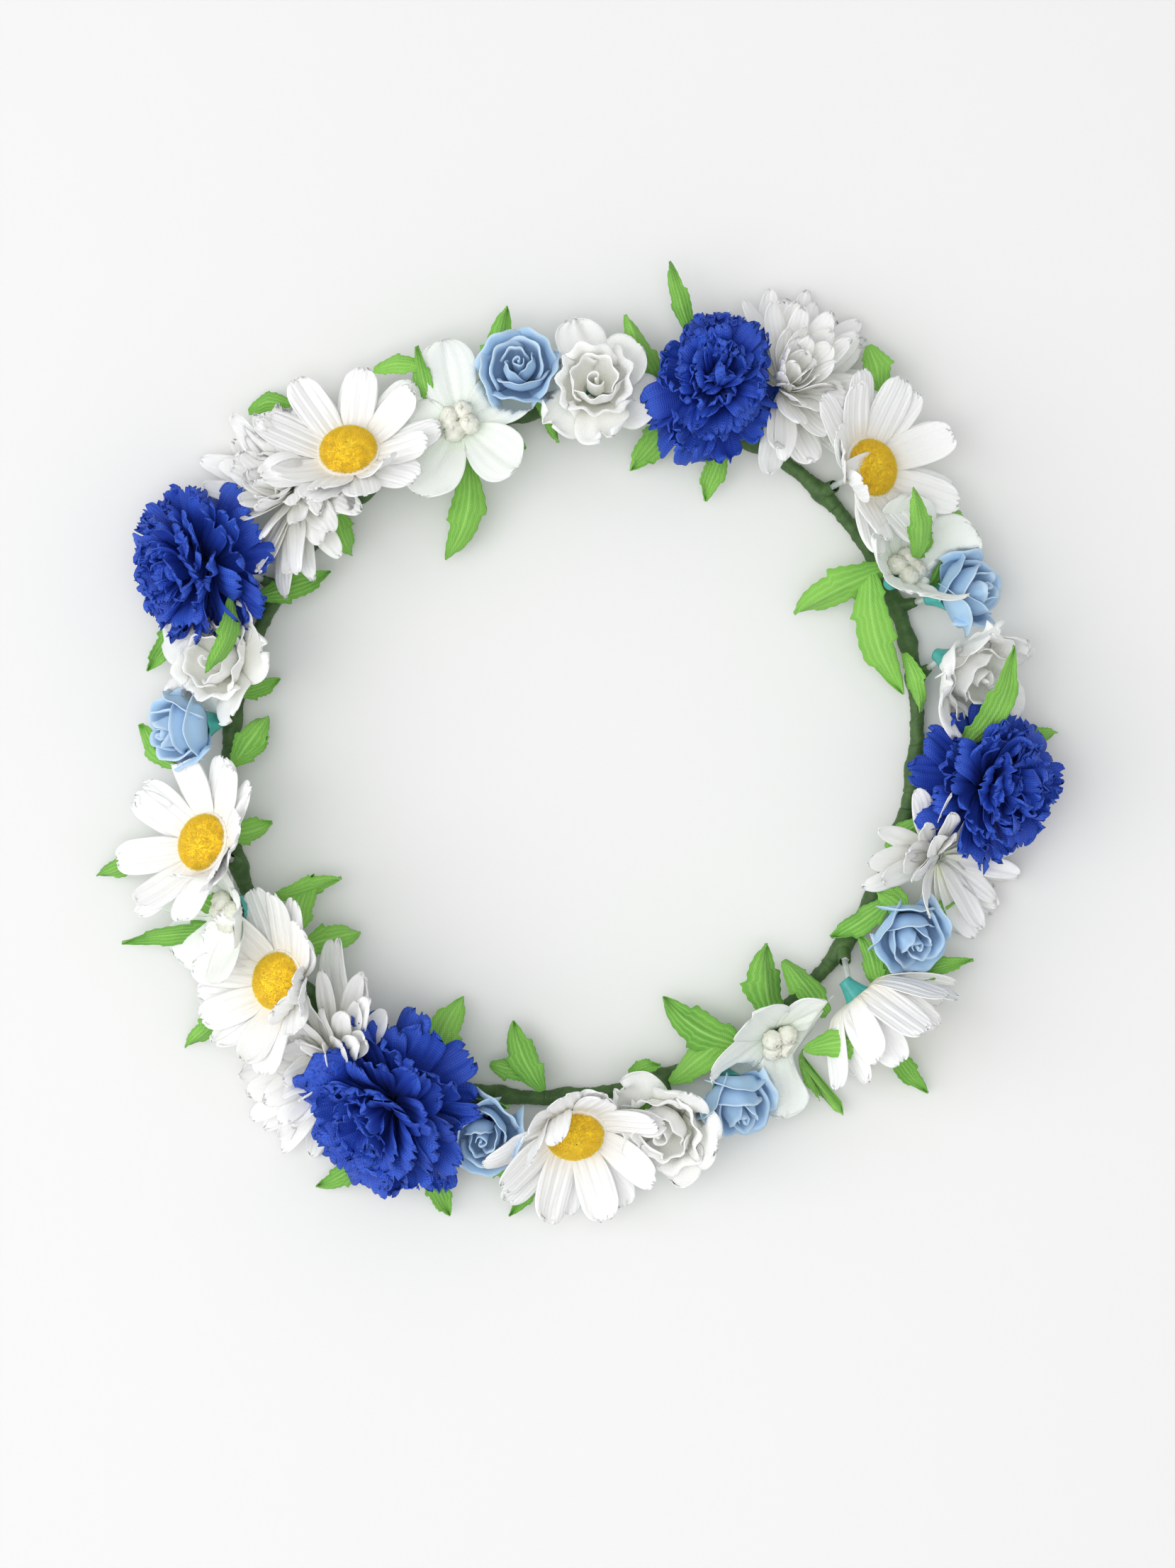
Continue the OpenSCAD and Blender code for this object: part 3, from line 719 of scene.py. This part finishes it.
# A ball of ruffled petals with notched tips, ring inside ring.
def ruffledHead(name, owner, spec, material, cut, scale=1.0):
    blocks = []
    for count, rise, curl, length, rootRadius, rootHeight in spec["rings"]:
        degrees = dice.uniform(0, 360) + np.arange(count) * 360 / count + around(0, 7, count)
        shape = dict(cut, rootRadius=rootRadius * scale, rootHeight=rootHeight * scale)
        block = petalRing(np.radians(degrees), around(length, spec["scatter"], count) * scale,
                          around(spec["width"], spec["width"] * 0.18, count) * scale,
                          around(rise, 9, count), around(curl, 14, count), shape)
        if owner.startswith("mum"):
            block = thinned(block, owner)
        block["points"] = placed(block["points"], owner)
        blocks.append(block)
    return gridPiece(name, blocks, material, bodyRoot, [owner], thickness=0.22)


cornflower["scatter"] = 2.0
cornflowerCut = {"rootShare": 0.2, "peak": 0.86, "tip": 3.0, "blunt": 0.5, "cup": 0.08, "rib": 0.45, "ribs": 4, "groove": 0.35,
                 "ruffle": 1.0, "waves": 1.6, "fray": 1.7, "ripple": 0.25, "sway": 1.5, "twist": 30, "tipCurl": 55,
                 "grid": (15, 17)}
# Size of each cornflower, and how it is stretched up its lean and across it
cornflowerSize = {1: (0.98, (1.12, 0.86)), 2: (1.05, (1.0, 1.0)), 3: (1.14, (1.0, 1.12)), 4: (1.04, (0.95, 1.05))}
for number in range(1, 5):
    size, squeeze = cornflowerSize[number]
    ruffledHead(f"cornflowerHead_{number}", f"cornflower_{number}", cornflower, clothMaterials["cornflowerCloth"],
                dict(cornflowerCut, squeeze=squeeze), size)
print("made the cornflowers")


# ---------------------------------------------------------------- mums

mum = {"width": 6.9, "scatter": 2.2,
       "rings": [(14, -2, 8, 25, 2.0, 0.2), (14, 8, 10, 24.5, 2.0, 0.9), (13, 18, 12, 23, 1.8, 1.6),
                 (12, 29, 12, 20.5, 1.6, 2.2), (10, 41, 12, 17.5, 1.2, 2.8), (8, 54, 12, 15, 0.9, 3.2),
                 (6, 70, 8, 12.5, 0.5, 3.6)]}
mumCut = {"rootShare": 0.32, "peak": 0.62, "tip": 1.8, "blunt": 0.12, "cup": 0.12, "rib": 0.22, "ribs": 3,
          "groove": 0.45, "ruffle": 0.3, "waves": 1.2, "fray": 0.8, "ripple": 0.15, "sway": 1.8, "twist": 22, "tipCurl": 30,
          "grid": (16, 11)}
mumSize = {1: (1.02, (1.0, 0.9)), 2: (0.9, (1.0, 1.0)), 3: (1.0, (1.0, 1.1)), 4: (0.98, (1.0, 1.1))}
for number in range(1, 5):
    size, squeeze = mumSize[number]
    rings = dict(mum, rings=mum["rings"][:4 if number == 2 else 7])      # the second hides its heart
    ruffledHead(f"mumHead_{number}", f"mum_{number}", rings, clothMaterials["mumCloth"],
                dict(mumCut, squeeze=squeeze), size)
print("made the mums")


# ---------------------------------------------------------------- blossoms

blossom = {"length": 20.0, "width": 15.5, "pip": 2.6}
# Rise of the five petals, and which way the first one points
blossomRise = {1: (38, 20), 2: (16, 10), 3: (30, 60), 4: (4, 30)}
blossomCut = {"rootRadius": 1.8, "rootHeight": -0.1, "rootShare": 0.26, "peak": 0.64, "tip": 2.4, "blunt": 0.15, "cup": 0.20,
              "rib": 0.45, "ribs": 5, "groove": 0.8, "ruffle": 0.5, "waves": 1.0, "fray": 0.5, "ripple": 0.3,
              "sway": 0.8, "twist": 14, "tipCurl": 20, "grid": (20, 19)}
pipBlocks = []
for number in range(1, 5):
    owner = f"blossom_{number}"
    rise, first = blossomRise[number]
    degrees = first + np.arange(5) * 72 + around(0, 5, 5)
    block = petalRing(np.radians(degrees), around(blossom["length"], 0.8, 5), around(blossom["width"], 0.8, 5),
                      around(rise, 5, 5) + 0.0, around(14, 8, 5), blossomCut)
    block["points"] = placed(block["points"], owner)
    gridPiece(f"blossomPetals_{number}", [block], clothMaterials["blossomCloth"], bodyRoot, [owner],
              thickness=0.25)
    turn = np.radians(first + 20 + np.array([0, 90, 180, 270]))
    middle = np.stack([2.9 * np.cos(turn), 2.9 * np.sin(turn), np.array([3.4, 2.9, 3.5, 3.0])], -1)
    ball = bumpyBall(middle, blossom["pip"])
    ball["points"] = placed(ball["points"], owner)
    pipBlocks.append(ball)
gridPiece("blossomPips", pipBlocks, creamPip, bodyRoot, ["blossom_pips"])
print("made the blossoms")


# ---------------------------------------------------------------- roses

for number in range(1, 7):
    owner = f"blue_rose_{number}"
    spin = dice.uniform(0, 2 * np.pi)
    outer = {"base": 2.5, "bulge": 8.4, "top": 9.0, "bulgeAt": 0.6, "rimAt": 0.66, "lip": 2.3, "overlap": 0.8,
             "height": 12.0, "shoulder": 0.5, "droop": 1.8, "rootHeight": -0.6, "ruffle": 0.35, "edgePower": 1.8,
             "grid": (14, 17)}
    middle = {"base": 2.0, "bulge": 6.3, "top": 5.9, "bulgeAt": 0.62, "lip": 1.6, "overlap": 0.9, "height": 13.2,
              "shoulder": 0.45, "droop": 0.9, "rootHeight": 0.0, "ruffle": 0.3, "edgePower": 1.9, "grid": (12, 17)}
    inner = {"base": 1.5, "bulge": 4.1, "top": 3.0, "bulgeAt": 0.6, "lip": 0.9, "overlap": 0.8, "height": 13.4,
             "shoulder": 0.36, "droop": 0.2, "rootHeight": 0.4, "ruffle": 0.25, "grid": (10, 15)}
    blocks = [petalWrap(spin + np.arange(5) * 2 * np.pi / 5 + around(0, 0.12, 5), 52, outer),
              petalWrap(spin + 0.6 + np.arange(3) * 2 * np.pi / 3 + around(0, 0.15, 3), 76, middle),
              petalWrap(spin + 1.7 + np.arange(3) * 2 * np.pi / 3 + around(0, 0.15, 3), 72, inner),
              rolledHeart(1.3, 0.35, 1.7, 4.0, 13.4)]
    for block in blocks:
        block["points"] = placed(block["points"], owner)
    gridPiece(f"blueRoseHead_{number}", blocks, clothMaterials["blueRoseCloth"], bodyRoot, [owner],
              thickness=0.25)

# Open petals round each white rose: how many, how far they rise
whiteRoseOpen = {1: (5, 38), 2: (5, 30), 3: (5, 18), 4: (6, 12)}
whiteRoseSize = {1: 1.22, 2: 1.15, 3: 1.1, 4: 1.05}
heartBlocks = []
for number in range(1, 5):
    owner = f"white_rose_{number}"
    spin = dice.uniform(0, 2 * np.pi)
    count, rise = whiteRoseOpen[number]
    wide = {"rootRadius": 2.0, "rootHeight": -0.2, "rootShare": 0.3, "peak": 0.66, "tip": 2.2, "blunt": 0.25, "cup": 0.20,
            "rib": 0.08, "ribs": 4, "groove": 0.1, "ruffle": 1.1, "waves": 1.4, "fray": 0.5, "ripple": 0.4,
            "sway": 1.4, "twist": 22, "tipCurl": 35, "grid": (16, 17)}
    openRing = petalRing(spin + np.arange(count) * 2 * np.pi / count, around(15.5, 1.8, count),
                         around(14.0, 1.4, count), around(rise, 7, count), around(4, 16, count), wide)
    cup = {"base": 2.4, "bulge": 7.6, "top": 8.2, "bulgeAt": 0.6, "lip": 2.4, "overlap": 0.7, "height": 9.5,
           "shoulder": 0.3, "droop": 0.8, "rootHeight": 0.0, "ruffle": 0.8, "grid": (12, 17)}
    near = {"base": 2.0, "bulge": 5.6, "top": 5.2, "bulgeAt": 0.65, "lip": 0.9, "overlap": 0.6, "height": 10.5,
            "shoulder": 0.22, "droop": 0.3, "rootHeight": 0.4, "ruffle": 0.6, "grid": (10, 15)}
    blocks = [openRing, petalWrap(spin + 0.4 + np.arange(4) * np.pi / 2, 58, cup)]
    for block in blocks:
        block["points"] = placed(block["points"] * whiteRoseSize[number], owner)
    if number == 2:                                     # its open petals lie under a daisy's
        openRing["points"] = tuckUnder(openRing["points"].reshape(-1, 3), owner).reshape(openRing["points"].shape)
    gridPiece(f"whiteRosePetals_{number}", blocks, clothMaterials["whiteRoseCloth"], bodyRoot, [owner],
              thickness=0.25)
    hearts2 = [petalWrap(spin + 1.0 + np.arange(3) * 2 * np.pi / 3, 78, near), rolledHeart(1.2, 0.5, 2.4, 3.0, 10.8)]
    for block in hearts2:
        block["points"] = placed(block["points"] * whiteRoseSize[number], owner)
        heartBlocks.append(block)
gridPiece("whiteRoseHearts", heartBlocks, clothMaterials["whiteRoseCloth"], bodyRoot,
          ["white_rose_buds"], thickness=0.25)
print("made the roses")


# ---------------------------------------------------------------- leaves

# Leaves: where each starts and ends as x, y, height, and its width, all in mm
leafRows = {
    "cornflowerLeaves": (["cornflower_leaves"], [
        ((30, 110, 12), (25, 126, 16), 5), ((23, 94, 9), (14, 113, 12), 7), ((25, 84, 8), (15, 73, 6), 8),
        ((39, 77, 8), (35, 65, 5), 7), ((100, 2, 18), (112, 27, 25), 8), ((97, 1, 9), (91, -7, 8), 6),
        ((118, 4, 8), (126, 5, 5), 5), ((90, -20, 7), (82, -29, 5), 6), ((-35, -80, 10), (-28, -64, 7), 9),
        ((-30, -96, 12), (-16, -92, 16), 8), ((-36, -112, 7), (-32, -121, 4), 6), ((-56, -106, 6), (-67, -113, 4), 6),
        ((-79, 41, 9), (-63, 47, 7), 7), ((-88, 36, 25), (-93, 20, 33), 6), ((-104, 32, 8), (-111, 21, 5), 6)]),
    "mumLeaves": (["mum_leaves"], [
        ((78, 102, 9), (82, 91, 10), 8), ((65, 90, 9), (72, 82, 9), 7), ((-60, 60, 8), (-57, 51, 6), 7),
        ((-81, 89, 5), (-72, 91, 6), 5), ((-63, -83, 6), (-72, -76, 8), 6), ((92, -26, 7), (84, -20, 6), 6)]),
    "blossomLeaves": (["blossom_leaves"], [
        ((79, 46, 9), (58, 35, 7), 10), ((78, 45, 10), (87, 15, 9), 10), ((87, 52, 12), (94, 57, 14), 6),
        ((52, -68, 9), (51, -50, 8), 11), ((57, -57, 9), (68, -71, 12), 8), ((43, -75, 9), (24, -63, 8), 10),
        ((63, -88, 6), (70, -95, 4), 5), ((-89, -44, 9), (-102, -36, 12), 7), ((-89, -47, 8), (-117, -51, 6), 6),
        ((-74, -37, 9), (-60, -33, 8), 6), ((-72, -46, 9), (-67, -32, 8), 7), ((-28, 73, 9), (-34, 50, 6), 9),
        ((-19, 82, 9), (-12, 79, 7), 8), ((-22, 94, 12), (-17, 115, 12), 8), ((-35, 91, 16), (-39, 104, 14), 5)]),
    "whiteRoseLeaves": (["white_rose_leaves"], [
        ((87, 22, 8), (90, 10, 7), 5), ((18, -83, 6), (23, -82, 6), 4), ((-84, 16, 8), (-76, 19, 7), 5)]),
    "blueRoseSepals": (["blue_rose_sepals"], [
        ((95, 49, 9), (92, 42, 9), 7), ((80, -40, 8), (67, -48, 6), 7), ((84, -40, 10), (79, -37, 9), 7),
        ((90, -42, 9), (99, -39, 9), 6), ((28, -84, 8), (42, -73, 8), 8), ((-22, -108, 6), (-14, -112, 5), 6),
        ((-86, -1, 10), (-79, 9, 8), 8), ((-8, 88, 10), (-4, 80, 8), 4)]),
    "daisyLeaves": ([], [
        ((88, 52, 21), (86, 66, 33), 6), ((79, 58, 10), (84, 50, 13), 7), ((99, 62, 10), (103, 57, 11), 4),
        ((78, -60, 10), (74, -48, 8), 6), ((80, -58, 11), (84, -53, 9), 6), ((90, -58, 8), (104, -54, 9), 5),
        ((63, -76, 20), (82, -72, 22), 8), ((84, -77, 3.5), (93, -89, 3), 6), ((-9, -85, 9), (-15, -70, 7), 8),
        ((-18, -82, 8), (-9, -84, 9), 6), ((12, -97, 12), (20, -90, 20), 6), ((-12, -110, 6), (-17, -121, 4), 5),
        ((12, -111, 8), (22, -108, 6), 3), ((-67, -50, 10), (-55, -47, 9), 8), ((-84, -64, 9), (-77, -68, 10), 6),
        ((-91, -68, 7), (-101, -77, 4), 6), ((-104, -2, 12), (-112, 7, 9), 8), ((-112, -26, 8), (-124, -32, 5), 6),
        ((-88, -20, 10), (-78, -18, 9), 7), ((-85, -1, 10), (-79, 4, 9), 5), ((-48, 98, 14), (-37, 97, 17), 5),
        ((-36, 90, 14), (-40, 104, 18), 4), ((-44, 74, 10), (-32, 85, 17), 7)]),
}
leafCut = {"rows": 44, "columns": 25, "teeth": 2.8, "veinDepth": 0.28, "arch": 0.12, "reach": 3.5}


# Leaf sheets. The middle line runs from base to tip with a sine arch and a sideways bow; the outline
# is a sine cut by sloping saw teeth; long veins are narrow bells across it, pressed in.
def leafBlock(name, rows):
    base = np.array([row[0] for row in rows], float)
    tip = np.array([row[1] for row in rows], float)
    width = np.array([row[2] for row in rows], float)[:, None, None]
    count = len(rows)
    v = np.linspace(0, 1, leafCut["rows"])[None, :, None]
    u = np.linspace(-1, 1, leafCut["columns"])[None, None, :]
    phase = dice.uniform(0, 2 * np.pi, (count, 1, 1))
    way = tip - base
    length = np.linalg.norm(way, axis=1)
    ahead = way / length[:, None]
    base = base - ahead * leafCut["reach"]
    length = length + leafCut["reach"]
    up = np.array([0, 0, 1.0]) - ahead * ahead[:, 2:]
    up = up / np.linalg.norm(up, axis=1)[:, None]
    side = np.cross(up, ahead)
    roll = np.radians(around(0, 30, count))[:, None]
    side, up = side * np.cos(roll) + up * np.sin(roll), up * np.cos(roll) - side * np.sin(roll)
    long = length[:, None, None]
    saw = (leafCut["teeth"] * v ** 0.9 + phase * 0.16 + 0.35 * (u > 0)) % 1.0
    cut = 0.86 + 0.3 * saw ** 1.5 * np.clip(v * 3, 0, 1)
    half = width / 2 * np.sin(np.pi * np.clip(v, 0, 1) ** 0.9) ** 0.85 * cut + 0.7 * (1 - v) ** 6
    half = half * (1 + 0.04 * np.sin(60 * v + phase))
    offset = u * np.maximum(half, 0.1)
    bow = dice.uniform(-0.14, 0.14, (count, 1, 1)) * long * np.sin(np.pi * v * 0.9)
    vein = sum(share * np.exp(-((np.abs(u) - place) / 0.07) ** 2) for place, share in
               ((0, 1.0), (0.34, 0.6), (0.67, 0.5))) * np.clip((1 - v) * 5, 0, 1)
    rise = leafCut["arch"] * long * np.sin(np.pi * v) - 0.30 * np.abs(offset) - leafCut["veinDepth"] * vein
    rise = rise + 1.0 * v * v * np.sin(3 * u + phase) + 0.5 * np.sin(8 * v + 2 * phase) * np.abs(u)
    ahead, side, up = ahead[:, None, None, :], side[:, None, None, :], up[:, None, None, :]
    points = (base[:, None, None, :] + ahead * (v * long + 0 * u)[..., None]
              + side * (offset + bow)[..., None] + up * rise[..., None])
    flat = np.stack([offset + 0 * v, v * long + 0 * u], -1) + around(0, 20, count)[:, None, None, None]
    if name in ("mumLeaves", "blossomLeaves"):
        points = tuckUnder(points.reshape(-1, 3), "").reshape(points.shape)
    return {"points": settle(points, ""), "map": flat, "along": v[0, :, 0], "tone": dice.uniform(0, 1, count),
            "vein": vein}


for name, (nodes, rows) in leafRows.items():
    block = leafBlock(name, rows)
    piece = gridPiece(name, [block], leafCloth, bodyRoot, nodes, thickness=0.25)
    field = piece.data.attributes.new("vein", "FLOAT", "POINT")
    field.data.foreach_set("value", (block["vein"] + np.zeros(block["points"].shape[:3])).reshape(-1).astype(np.float32))
print("made the leaves")


# ---------------------------------------------------------------- hoop, stems and calyxes

hoop = {"long": 93.6, "short": 86.9, "turn": 47, "height": 2.8, "tape": 1.72, "tapePitch": 6.5}


# The hoop's middle line: four quarter arcs, two about points on the long diameter and two about
# points on the short one, taken by the direction square to the line.
def hoopLine(count):
    normal = np.linspace(-45, 315, count, endpoint=False)
    quarter = np.floor((normal + 45) / 90)
    shift = math.floor(10 * (hoop["long"] - hoop["short"]) / (2 - math.sqrt(2))) / 10
    tight = quarter % 2 == 0
    radius = np.where(tight, hoop["long"] - shift, hoop["short"] + shift)
    away = np.radians(quarter * 90 + hoop["turn"])
    offset = np.where(tight, shift, -shift)
    turned = np.radians(normal + hoop["turn"])
    outward = np.stack([np.cos(turned), np.sin(turned), 0 * turned], -1)
    centre = np.stack([offset * np.cos(away), offset * np.sin(away), 0 * away + hoop["height"]], -1)
    return centre + outward * radius[:, None], outward


# Tape wound on the hoop: each turn steps up over the last along a helix, with fine stretch wrinkles.
def woundTape():
    count, columns = 1500, 22
    line, outward = hoopLine(count)
    run = np.concatenate([[0], np.cumsum(np.linalg.norm(np.diff(line, axis=0), axis=1))])
    turn = np.arange(columns) * 2 * np.pi / columns
    turns = round(run[-1] / hoop["tapePitch"])
    place = run[:, None] / run[-1] * turns + turn[None, :] / (2 * np.pi)
    step = (place % 1.0) ** 3
    radius = hoop["tape"] + 0.3 * step + 0.05 * np.sin(place * 2 * np.pi * 5.0)
    radius = radius + 0.06 * np.sin(run[:, None] * 2.1 + 3 * np.sin(turn)[None, :])
    points = (line[:, None, :] + outward[:, None, :] * (radius * np.cos(turn))[..., None]
              + np.array([0, 0, 1.0]) * (radius * np.sin(turn))[..., None])
    points = np.concatenate([points, points[:1]], 0)[None]
    flat = np.stack([np.broadcast_to(turn * 2, (count, columns)), np.broadcast_to(run[:, None], (count, columns))], -1)
    flat = np.concatenate([flat, flat[-1:]], 0)[None]
    return gridPiece("woundTape", [{"points": points, "map": flat, "wrap": True, "flip": True,
                                    "along": np.linspace(0, 1, count + 1), "tone": np.array([0.5])}],
                     floralTape, bodyRoot, ["hoop_tape"])


woundTape()

# Where each stem's foot stands on the hoop, in degrees round the crown
feet = {"daisy_petals": [46, -36, -91, -137, -161, 129], "cornflower": [70, -3, -114, 151],
        "mum": [60, -14, -126, 138], "blossom": [30, -54, -152, 110],
        "blue_rose": [24, -26, -64, -102, 175, 98], "white_rose": [12, -75, 167, 85]}
binding = {"reach": 6.0, "swell": 0.75, "spread": 2.6, "cone": 5.6, "lapAngle": 18}


# Tape turns that bind a stem: a spindle round the hoop whose swell is a bell along it, stepped like
# the tape itself, and a sleeve that tapers up the stem's foot.
def tapeBindings():
    line, outward = hoopLine(3600)
    seen = np.degrees(np.arctan2(line[:, 1], line[:, 0]))
    turn = np.arange(20) * 2 * np.pi / 20
    blocks = []
    places = [(name, number, angle) for name, angles in feet.items() for number, angle in enumerate(angles, 1)]
    for name, number, angle in places + [("", 0, binding["lapAngle"])]:
        middle = int(np.argmin(np.abs(angleGap(seen, angle))))
        count = 41
        near = (middle + np.round(np.linspace(-1, 1, count) * binding["reach"] / 0.158).astype(int)) % 3600
        along = np.linspace(-1, 1, count)[:, None] * binding["reach"]
        place = along / 3.4 + turn[None, :] / (2 * np.pi)
        radius = hoop["tape"] + 0.12 + binding["swell"] * np.exp(-(along / binding["spread"]) ** 2)
        radius = radius + 0.16 * (place % 1.0) ** 3 + 0.04 * np.sin(9 * along + 3 * turn[None, :])
        radius = np.where(np.abs(along) > binding["reach"] * 0.97, hoop["tape"] - 0.3, radius)
        points = (line[near][:, None, :] + outward[near][:, None, :] * (radius * np.cos(turn))[..., None]
                  + np.array([0, 0, 1.0]) * (radius * np.sin(turn))[..., None])
        blocks.append({"points": points[None], "map": points[None][..., :2], "wrap": True, "flip": True,
                       "along": np.linspace(0, 1, count), "tone": np.array([0.5])})
        if not name:
            continue
        root, ways = heads[f"{name}_{number}"]
        start = line[middle]
        way = root - ways[2] * 4.0 - start
        way = way / np.linalg.norm(way)
        across = np.cross(way, [0.3, 0.2, 1.0])
        across = across / np.linalg.norm(across)
        third = np.cross(way, across)
        v = np.linspace(0, 1, 12)[:, None]
        mouth = 1.5 if name == "daisy_petals" else 1.1
        radius = 2.15 + (mouth - 2.15) * v ** 0.8 + 0.12 * ((v * 3 + turn / (2 * np.pi)) % 1.0) ** 3
        points = (start + way * (v * binding["cone"])[..., None] + across * (radius * np.cos(turn))[..., None]
                  + third * (radius * np.sin(turn))[..., None])
        if name != "daisy_petals":
            rim = start + way * binding["cone"] + across * (0.8 * np.cos(turn))[:, None] + third * (0.8 * np.sin(turn))[:, None]
            points = np.concatenate([points, rim[None]], 0)
        blocks.append({"points": points[None], "map": points[None][..., :2], "wrap": True, "flip": True,
                       "along": np.linspace(0, 1, len(points)), "tone": np.array([0.5])})
    return gridPiece("tapeBindings", blocks, floralTape, bodyRoot, ["tape_overlap", "stem_bindings"],
                     thickness=0.2)


tapeBindings()
for node, item in frame["nodes"].items():
    finish = None
    if node == "hoop_wire":
        finish = steelWire
    elif node == "flower_stems" or node.startswith("daisy_stem"):
        finish = clearStem
    if finish:
        item.data.materials.clear()
        item.data.materials.append(finish)
print("made the hoop")


# ---------------------------------------------------------------- floor, light and camera

studio = {"cameraOver": (3.9, -8.6), "cameraHeight": 1026, "lens": 90, "floorSide": 8000}


def makeFloor():
    side = studio["floorSide"] / 2 * millimetre
    mesh = bpy.data.meshes.new("paleTable")
    mesh.from_pydata([(-side, -side, 0), (side, -side, 0), (side, side, 0), (-side, side, 0)], [], [(0, 1, 2, 3)])
    table = bpy.data.objects.new("paleTable", mesh)
    bpy.context.scene.collection.objects.link(table)
    sheet = NodeSheet("paleTable")
    base = sheet.ramp(sheet.noise(3, 2), [(0.3, (0.832, 0.832, 0.818)), (0.7, (0.846, 0.846, 0.832))])
    sheet.join(base, sheet.shader.inputs["Base Color"])
    sheet.shader.inputs["Roughness"].default_value = 0.9
    mesh.materials.append(sheet.material)


def makeLight(name, place, size, power, aim=(0, 0, 0)):
    light = bpy.data.lights.new(name, "AREA")
    light.size = size
    light.energy = power
    lamp = bpy.data.objects.new(name, light)
    lamp.location = place
    gap = np.array(aim, float) - np.array(place, float)
    flat = math.hypot(gap[0], gap[1])
    lamp.rotation_euler = (math.atan2(flat, -gap[2]), 0, math.atan2(gap[1], gap[0]) - math.pi / 2)
    bpy.context.scene.collection.objects.link(lamp)


def makeCamera():
    camera = bpy.data.cameras.new("overheadCamera")
    camera.lens = studio["lens"]
    camera.clip_start = 0.01
    view = bpy.data.objects.new("overheadCamera", camera)
    view.location = (studio["cameraOver"][0] * millimetre, studio["cameraOver"][1] * millimetre,
                     studio["cameraHeight"] * millimetre)
    bpy.context.scene.collection.objects.link(view)
    bpy.context.scene.camera = view


makeFloor()
makeLight("windowLeft", (-2.0, -0.3, 1.9), 2.4, 36)
makeLight("softAbove", (-0.15, -0.1, 1.5), 1.0, 7.6)
makeLight("fillRight", (1.6, -1.4, 2.4), 3.0, 3)
world = bpy.data.worlds.new("softRoom")
world.use_nodes = True
world.node_tree.nodes["Background"].inputs["Color"].default_value = (0.97, 0.985, 1.0, 1)
world.node_tree.nodes["Background"].inputs["Strength"].default_value = 0.55
bpy.context.scene.world = world
bpy.context.scene.view_settings.view_transform = "Standard"
makeCamera()
print("lit the crown")
